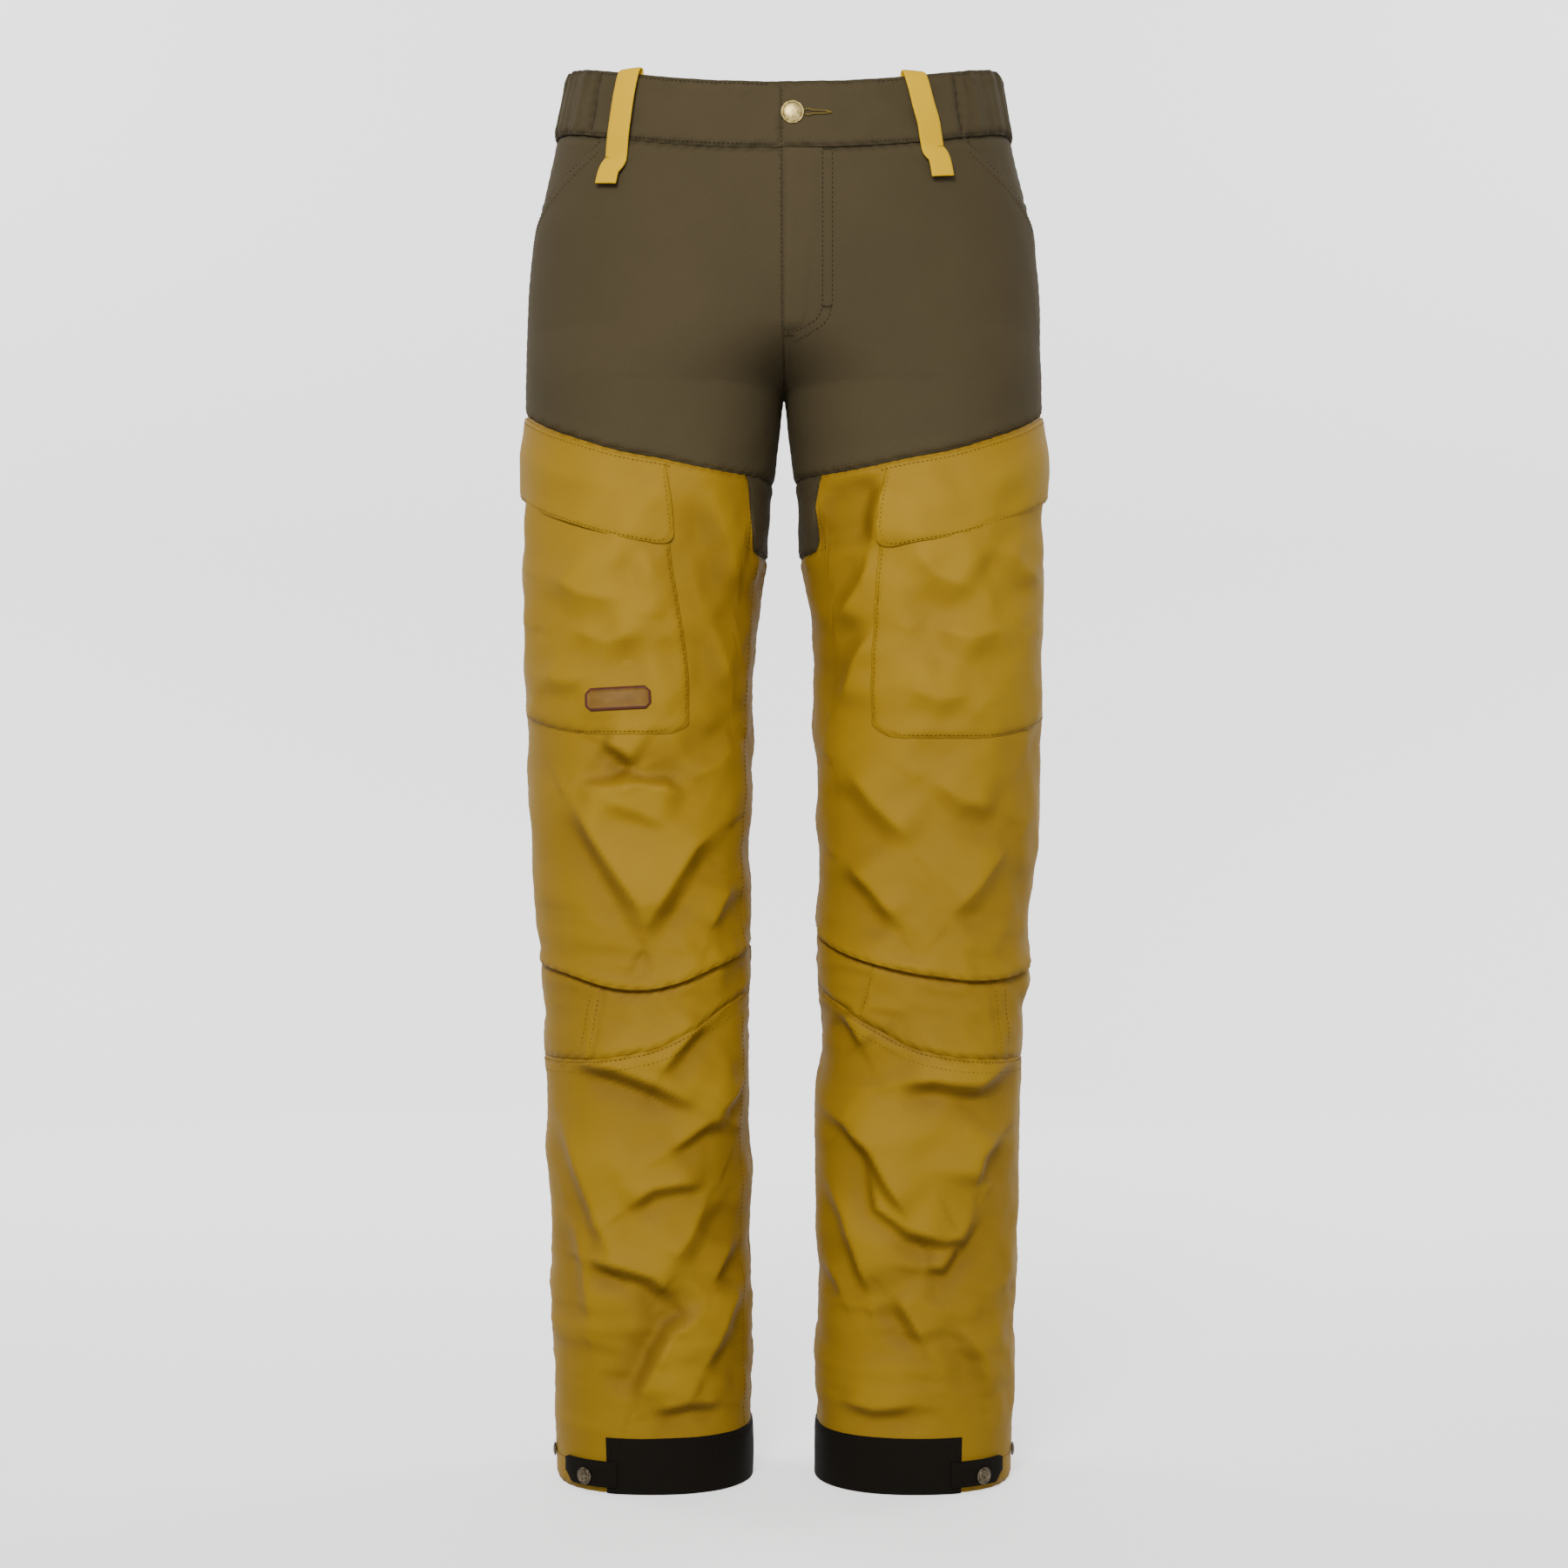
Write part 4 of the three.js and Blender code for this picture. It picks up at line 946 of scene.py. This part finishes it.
def strap(name, side, line, width, thick, material):
    """A ribbon along (round, height, out) stations, square ended and slightly crowned."""
    line = np.array(line, float)
    run = np.concatenate([[0], np.cumsum(np.hypot(np.diff(line[:, 1]), np.diff(line[:, 2])))])
    at = np.linspace(0, run[-1], int(run[-1] / 1.1))
    r, h, out = (profile(list(zip(run, line[:, i])))(at) for i in range(3))
    centre, normal = skin(side, r, h, out, False)
    tangent = np.gradient(centre, axis=0)
    tangent /= np.linalg.norm(tangent, axis=1)[:, None]
    across = np.cross(np.array([0, 0, 1.0]), on_surface(side, r, h)[1])
    across -= tangent * (across * tangent).sum(1)[:, None]
    across /= np.linalg.norm(across, axis=1)[:, None]
    outwards = np.cross(tangent, across)
    outwards *= np.sign((outwards * normal).sum(1) + 1e-6)[np.argmax(np.abs((outwards * normal).sum(1)))]
    u = np.linspace(-1, 1, 15)
    u = np.sign(u) * np.abs(u) ** 0.8
    edge = np.clip((np.abs(u) - 0.86) / 0.14, 0, 1)
    crown = 0.25 * (1 - u**2) - 0.35 * edge**2
    outer = centre[:, None] + across[:, None] * (u * width / 2)[:, None] \
        + outwards[:, None] * (thick / 2 + crown)[:, None]
    inner = centre[:, None] + across[:, None] * (u * width / 2)[:, None] \
        - outwards[:, None] * (thick / 2 - 0.2 * edge**2)[:, None]
    uv = np.stack(np.broadcast_arrays(u * width / 2, at[:, None]), -1) * MM
    obj = shell(name, place(outer), place(inner), uv, np.zeros(outer.shape[:2]), False)
    obj.data.materials.append(material)
    make_outward(obj)
    return obj


def make_outward(obj):
    """Turns every face of a closed mesh outwards."""
    work = bmesh.new()
    work.from_mesh(obj.data)
    bmesh.ops.recalc_face_normals(work, faces=work.faces)
    work.to_mesh(obj.data)
    work.free()


def loop_line(top_round, tack_round, end_round, tack, end):
    """Stations from inside the waist edge, over it and down to the bar-tack and the free tail."""
    top = float(waist_top(top_round))
    down = lambda share: top_round + (tack_round - top_round) * share
    return [(top_round, top - 9, -2.6), (top_round, top - 1, -2.4), (top_round, top + 2.6, 0.2),
            (top_round, top + 0.6, 3.6), (down(0.15), top - 7, 5.4), (down(0.4), top - 22, 6.6),
            (down(0.75), tack + 16, 5.8), (down(0.93), tack + 5, 3.6), (tack_round, tack, 2.6),
            (tack_round, tack - 3, 2.6), (end_round, tack - 9, 3.6), (end_round, end, 5.4)]


def make_loops():
    front = {
        -1: (111.5, 120.5, 127, 975, 955),
        1: (93.5, 106.2, 113, 982, 959),
    }
    for side, hand in SIDES:
        x_top, x_tack, x_end, tack, end = front[side]
        line = loop_line(*(float(round_at(x, h)) for x, h in
                           ((x_top, WAIST_HEIGHT - 20), (x_tack, tack), (x_end, end))), tack, end)
        loop = strap(f"belt_loop_front_{hand}_cloth", side, line, LOOP_WIDTH, 1.5, YELLOW)
        keep(loop, "root", f"belt_loop_front_{hand}", slot="yellow_cloth")
    for name, side, r in (("right", -1, 1.45), ("left", 1, 1.45), ("centre", 1, 2.0)):
        top = float(waist_top(r))
        loop = strap(f"belt_loop_back_{name}_cloth", side,
                     loop_line(r, r, r, top - 71, top - 89), LOOP_WIDTH, 1.5, YELLOW)
        keep(loop, "root", f"belt_loop_back_{name}", slot="yellow_cloth")


TAB_START, TAB_END = 122, 160
TAB_FOOT, TAB_HEAD = 4.5, 23.5
SNAP_X, SNAP_HEIGHT = 145, 11.5
BUTTON_X, BUTTON_HEIGHT = 6, 1002


def make_tab(side, hand):
    """The hem tab: its end cut on a slant, its snap near the end."""
    start, end = (float(round_at(x, SNAP_HEIGHT)) for x in (TAB_START, TAB_END))
    sew(f"cuff_tab_{hand}", f"tab:{hand}", [(side, start, end)],
        lambda r: TAB_FOOT + 7 * smooth(0.8, 1.0, (r - start) / (end - start)),
        lambda r: TAB_HEAD - 1.5 * smooth(0.9, 1.0, (r - start) / (end - start)),
        BLACK, out=2.9, edges="rbt", pucker=0.05, step=1.6, thick=1.4, dip=0.4)


def lathe(name, centre, axis, outline, material, segments=72):
    """A turned piece: (radius, height) points round an axis, closed at both ends."""
    axis = Vector(axis).normalized()
    turn = axis.to_track_quat("Z", "Y").to_matrix()
    points, faces = [], []
    for radius, height in outline:
        for i in range(segments):
            angle = 2 * math.pi * i / segments
            spot = turn @ Vector((radius * math.cos(angle), radius * math.sin(angle), height))
            points.append(Vector(centre) + spot)
    for ring in range(len(outline) - 1):
        for i in range(segments):
            a, b = ring * segments + i, ring * segments + (i + 1) % segments
            faces.append((a, b, b + segments, a + segments))
    faces.append(list(range(segments))[::-1])
    faces.append([(len(outline) - 1) * segments + i for i in range(segments)])
    obj = mesh_object(name, place(points), faces)
    obj.data.materials.append(material)
    make_outward(obj)
    return obj


def dome(radius, rim, height, ring=0.78, count=10):
    """A pressed cap's outline from its back to its face: rolled rim, groove and low dome."""
    outline = [(radius * 0.55, 0.0), (radius - rim, 0.0)]
    outline += [(radius - rim + rim * math.sin(a), rim - rim * math.cos(a))
                for a in np.linspace(0.2, math.pi, 9)]
    outline += [(radius * (ring + 0.04), rim * 1.7), (radius * ring, rim * 1.35)]
    outline += [(radius * ring * math.cos(a), rim * 1.6 + (height - rim * 1.6) * math.sin(a))
                for a in np.linspace(0.12, math.pi / 2 - 0.04, count)]
    return outline


def make_metal():
    for side, hand in SIDES:
        for name, x, h, out, radius, body in (("snap_cap", SNAP_X, SNAP_HEIGHT, 2.7, 6.25, "cuff_tab"),
                                              ("adjust_stud", None, 20, 0.6, 5, "lower_leg")):
            r = 0.95 if x is None else float(round_at(x, h))
            point, normal = on_surface(side, r, h, out + float(body_shape(side, np.array(r), np.array(h))))
            cap = lathe(f"{name}_{hand}_metal", point, normal, dome(radius, 0.8, 2.4), GUNMETAL)
            keep(cap, f"{body}_{hand}", f"{name}_{hand}", slot="gunmetal")
    r = float(round_at(BUTTON_X, BUTTON_HEIGHT))
    point, normal = on_surface(1, r, BUTTON_HEIGHT, 2.0)
    cap = lathe("waist_button_metal", point, normal, dome(8.5, 0.9, 3.0, 0.84, 16), BRASS, 96)
    keep(cap, "root", "waist_button", slot="brass")


FINISHES = {
    "pocket_bag_right": LINING, "pocket_bag_left": LINING, "fly_facing": LINING, "fly_shield": LINING,
    "zip_half_right": ZIP_TAPE, "zip_half_left": ZIP_TAPE, "zip_slider": BRASS, "zip_pull": BRASS,
    "zip_bottom_stop": BRASS, "waist_button_tack": BRASS, "snap_post_right": GUNMETAL,
    "snap_post_left": GUNMETAL,
}


def finish_cad_nodes():
    for name, material in FINISHES.items():
        data = frame["nodes"][name].data
        data.materials.clear()
        data.materials.append(material)


for side, hand in SIDES:
    make_legs(side, hand)
    make_seat(side, hand)
    make_cargo(side, hand)
    make_tab(side, hand)
make_waistband()
make_fly()
make_patch()
make_loops()
make_metal()
finish_cad_nodes()


# ---------------------------------------------------------------- stitching
def path_xh(side, points):
    """A stitch path through (distance from the middle, height) points on the front."""
    return [(side, float(round_at(x, h)), h) for x, h in points]


def row(side, start, end, edge, shift):
    """A stitch path along an edge curve, shifted up or down from it."""
    return [(side, r, float(edge(np.array(r))) + shift) for r in np.linspace(start, end, 80)]


def upright(side, r, low, high):
    return [(side, r, h) for h in np.linspace(low, high, max(int((high - low) / 6), 2))]


def stitch_seat(side, hand):
    """Rows on the dark cloth: band edges, pocket mouth, yoke seam, gusset and centre back."""
    mouth = [row(side, MOUTH_START, 0.99, mouth_edge, -3.2), row(side, MOUTH_START, 0.99, mouth_edge, -11)]
    reach = GUSSET_REACH - 2.6 / GIRTH
    foot = float(gusset_foot(0.0))
    gusset = [[(side, r, foot + 2.6) for r in np.linspace(-reach, reach, 40)]]
    gusset += [upright(side, r, foot + 3, foot + 52) for r in (-reach, reach)]
    rear = [row(side, 1.01, 1.99, back_yoke, shift) for shift in (-2.6, -8.5)]
    if side > 0:
        rear.append(upright(side, 1.985, INSEAM - 55, WAIST_HEIGHT - 36))
    keep(thread(f"seat_stitches_{hand}", mouth + gusset + rear, DARK_THREAD), "root")
    keep(thread(f"yoke_stitches_{hand}", [row(side, GUSSET_REACH, 2 - GUSSET_REACH, yoke, 2.8)],
                MUSTARD_THREAD), "root")
    band = [row(side, 0.03, 1.99, waist_top, -2.4), row(side, 0.03, 1.99, band_foot, 2.4)]
    keep(thread(f"band_stitches_{hand}", band, DARK_THREAD, out=1.35, length=2.2), "root")


def stitch_fly():
    heights = np.linspace(FLY_FOOT + 2, WAIST_HEIGHT - 29, 60)
    edge = [path_xh(-1, [(2.0, h) for h in heights])]
    keep(thread("fly_edge_stitches", edge, DARK_THREAD, out=2.0, length=2.2), "root")
    inner = [(27.7, h) for h in np.linspace(974, 868, 30)]
    inner += [(26.8, 860), (23, 854), (16, 850), (8, 847), (0.5, 846)]
    outer = [(34.7, h) for h in np.linspace(974, 866, 30)]
    outer += [(32.5, 856), (27.5, 850), (17, 844), (4.5, 839)]
    rows = [path_xh(1, inner), path_xh(1, outer)]
    rows.append(path_xh(1, [(4.2, h) for h in np.linspace(FLY_FOOT - 6, INSEAM + 16, 12)]))
    keep(thread("fly_stitches", rows, DARK_THREAD, out=0.9, length=2.4), "root")
    tacks = []
    for h in (976, 863):
        tacks += [path_xh(1, [(x, h + 0.7 * (i % 2)) for i, x in enumerate(np.linspace(27.5, 35, 12))])]
    tacks.append(path_xh(1, [(x, 844 + 0.7 * (i % 2)) for i, x in enumerate(np.linspace(0.5, 8, 10))]))
    keep(thread("fly_bar_tacks", tacks, DARK_THREAD, out=1.4, length=1.0, gap=0.1, width=0.6), "root")
    lips = ((14.5, 1.6), (17.5, 2.4), (20, 1.2), (31, 1.0))
    around = [(x, BUTTON_HEIGHT + rise) for x, rise in lips] + [(31.6, BUTTON_HEIGHT)]
    around += [(x, BUTTON_HEIGHT - rise) for x, rise in reversed(lips)]
    bar = [(x, BUTTON_HEIGHT + 0.9 * (-1) ** i) for i, x in enumerate(np.linspace(31, 34, 9))]
    keep(thread("buttonhole_stitches", [path_xh(1, around), path_xh(1, bar)], GOLD_THREAD, out=3.0,
                length=0.9, gap=0.12, width=0.75), "root")


def stitch_cargo(side, hand):
    """Rows just inside the pocket's and the flap's edges."""
    inner = lambda h: float(cargo_inner[side](h))
    foot = lambda r: float(cargo_foot(side, r))
    margin = 2.2 / GIRTH
    heights = np.linspace(CARGO_FOOT[side] + 27, 690, 24)[::-1]
    outline = [(side, inner(h) + margin, h) for h in heights]
    start = inner(CARGO_FOOT[side] + 30)
    rounds = start + margin + (CARGO_OUTER - 2 * margin - start) * np.linspace(0.004, 1, 60) ** 1.4
    outline += [(side, r, foot(r) + 2.2) for r in rounds]
    outline += [(side, CARGO_OUTER - margin, h) for h in np.linspace(foot(CARGO_OUTER) + 4, 730, 20)]
    rise = lambda s, r, h: cargo_rise(side, r, h)
    keep(thread(f"cargo_pocket_stitches_{hand}", [outline], MUSTARD_THREAD, lift=rise, out=0.15,
                length=2.2), "root")
    begin = float(flap_inner[side](720))
    edge = lambda r: float(yoke(r)) - FLAP_DEPTH + float(rounded((r - begin) * GIRTH, FLAP_CORNER))
    flap = [(side, float(flap_inner[side](h)) + margin, h) for h in np.linspace(742, 704, 12)]
    flap += [(side, r, edge(r) + 2.2) for r in begin + margin + (FLAP_OUTER - 2 * margin - begin)
             * np.linspace(0.01, 1, 60) ** 1.3]
    flap += [(side, FLAP_OUTER - margin, h) for h in np.linspace(edge(1.0) + 4, 792, 14)]
    rows = [flap, [(side, r, float(yoke(r)) - 4.5) for r in np.linspace(begin + margin, 1.02, 40)]]
    rise = lambda s, r, h: flap_rise(side, r, h)
    keep(thread(f"cargo_flap_stitches_{hand}", rows, MUSTARD_THREAD, lift=rise, out=0.15, length=2.2),
         f"flap:{hand}")


def stitch_legs(side, hand):
    """Rows on the mustard cloth: inseam, side seam, knee panel and hem."""
    front = float(round_at(leg_inner(300) + 5, 300)) if side < 0 else 0.012
    foot = float(gusset_foot(0.0))
    rows = [upright(side, front, KICK_DEPTH + 2, foot - 2), upright(side, 0.985, 26, INSEAM - 20),
            upright(side, 1.985, KICK_DEPTH + 2, foot - 2)]
    rows += [row(side, 0.01, 0.99, knee_foot, shift) for shift in (-2.4, -10)]
    for (x0, h0), (x1, h1) in KNEE_SEAMS[side]:
        for aside in ((2.2, 9) if x0 > 100 else (2.2,)):
            line = [(x0 + aside + (x1 - x0) * t, h0 + (h1 - h0) * t) for t in np.linspace(0, 1, 14)]
            rows.append(path_xh(side, line))
    rows.append([(side, r, 20.0) for r in np.linspace(KICK_FRONT + 0.02, KICK_BACK - 0.02, 60)])
    keep(thread(f"leg_stitches_{hand}", rows, MUSTARD_THREAD, length=2.4), f"knee:{hand}")
    ends = [[(side, r, h) for h in np.linspace(2, KICK_DEPTH - 2.2, 10)]
            for r in (KICK_BACK - 2 + 0.01, KICK_FRONT - 0.01)]
    top = [[(side, r, KICK_DEPTH - 2.2) for r in np.linspace(KICK_BACK - 2 + 0.01, KICK_FRONT - 0.01, 90)]]
    keep(thread(f"kick_panel_stitches_{hand}", top + ends, BLACK_THREAD, out=1.5), f"lower_leg_{hand}")
    tab = [(TAB_START + 3, TAB_HEAD - 2), (TAB_END - 3, TAB_HEAD - 3), (TAB_END - 4, TAB_HEAD - 8),
           (TAB_END - 6, TAB_FOOT + 6), (TAB_END - 9, TAB_FOOT + 2.4), (TAB_START + 3, TAB_FOOT + 2)]
    keep(thread(f"cuff_tab_stitches_{hand}", [path_xh(side, tab)], BLACK_THREAD, out=3.1, length=2.0),
         f"tab:{hand}")


for side, hand in SIDES:
    stitch_seat(side, hand)
    stitch_cargo(side, hand)
    stitch_legs(side, hand)
stitch_fly()


# ---------------------------------------------------------------- camera and light
CAMERA_DISTANCE = 2.03
CAMERA_BELOW_WAIST = 0.530
LENS = 61.5

camera = bpy.data.objects.new("camera", bpy.data.cameras.new("camera"))
bpy.context.scene.collection.objects.link(camera)
camera.data.lens = LENS
camera.data.sensor_width = 36
camera.location = (0, -CAMERA_DISTANCE, -CAMERA_BELOW_WAIST)
camera.rotation_euler = (math.pi / 2, 0, 0)
bpy.context.scene.camera = camera


def soft_light(name, place_m, target, size, power):
    data = bpy.data.lights.new(name, "AREA")
    data.shape = "RECTANGLE"
    data.size, data.size_y = size
    data.energy = power
    light = bpy.data.objects.new(name, data)
    bpy.context.scene.collection.objects.link(light)
    light.location = place_m
    aim = Vector(target) - Vector(place_m)
    light.rotation_euler = aim.to_track_quat("-Z", "Y").to_euler()


# Each light's name, place, target, size and power in watts
LIGHTS = (
    ("key", (-0.35, -2.05, 0.55), (0, 0, -0.55), (0.7, 0.7), 52),
    ("fill", (0.9, -2.3, -0.3), (0, 0, -0.6), (1.2, 1.4), 8),
    ("wall_wash", (-1.7, 1.2, 1.3), (0.2 * -1.7, 3.4, -0.4), (1.4, 1.4), 60),
    ("wall_wash", (1.7, 1.2, 1.3), (0.2 * 1.7, 3.4, -0.4), (1.4, 1.4), 60),
    ("rear", (0.2, 2.4, 1.0), (0, 0, -0.5), (2.4, 1.6), 24),
)
for light in LIGHTS:
    soft_light(*light)

PAPER_GLOW = 0.9
STUDIO_AIR = 0.3


def backdrop():
    """A round pale floor that curves up into a wall on every side."""
    floor_z = -WAIST_HEIGHT * MM - 0.0005
    radius, bend, top, segments = 3.4, 1.0, 4.5, 96
    outline = [(0.01, floor_z), (radius - bend, floor_z)]
    outline += [(radius - bend + bend * math.sin(a), floor_z + bend - bend * math.cos(a))
                for a in np.linspace(0, math.pi / 2, 24)[1:]]
    outline.append((radius, top))
    turns = [2 * math.pi * i / segments for i in range(segments)]
    vertices = [(out * math.cos(a), out * math.sin(a), z) for out, z in outline for a in turns]
    faces = [(ring * segments + i, ring * segments + (i + 1) % segments,
              (ring + 1) * segments + (i + 1) % segments, (ring + 1) * segments + i)
             for ring in range(len(outline) - 1) for i in range(segments)]
    faces.append(list(range(segments))[::-1])
    obj = mesh_object("backdrop", vertices, faces)
    material, nodes, links, shader = new_material("pale paper")
    shader.inputs["Base Color"].default_value = srgb(246, 246, 246)
    shader.inputs["Roughness"].default_value = 0.9
    shader.inputs["Emission Color"].default_value = (1, 1, 1, 1)
    shader.inputs["Emission Strength"].default_value = PAPER_GLOW
    grain = nodes.new("ShaderNodeTexNoise")
    grain.inputs["Scale"].default_value = 40
    add_relief(nodes, links, shader, grain.outputs["Fac"], 0.05, 0.2)
    obj.data.materials.append(material)
    # The glowing paper stays out of the garment's diffuse light, which would wash out its colours
    obj.visible_diffuse = False


backdrop()
world = bpy.data.worlds.new("studio")
world.use_nodes = True
world.node_tree.nodes["Background"].inputs[0].default_value = (1, 1, 1, 1)
world.node_tree.nodes["Background"].inputs[1].default_value = STUDIO_AIR
bpy.context.scene.world = world

# ---------------------------------------------------------------- what moves with what: knee, flap and tab pieces are only baked in place, the rest hang on their bodies
for obj, body in PIECES:
    if body.startswith("knee:"):
        hand = body[5:]
        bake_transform(obj)
    elif body.startswith("flap:"):
        joint = JOINTS["cargo_flap_" + body[5:]]
        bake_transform(obj)
    elif body.startswith("tab:"):
        joint = JOINTS["cuff_tab_" + body[4:]]
        side = math.copysign(1, joint["pos_m"][0])
        near, far = (on_surface(side, round_at(x, SNAP_HEIGHT), SNAP_HEIGHT)[0]
                     for x in (TAB_START, TAB_END))
        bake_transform(obj)
    else:
        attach(obj, body)
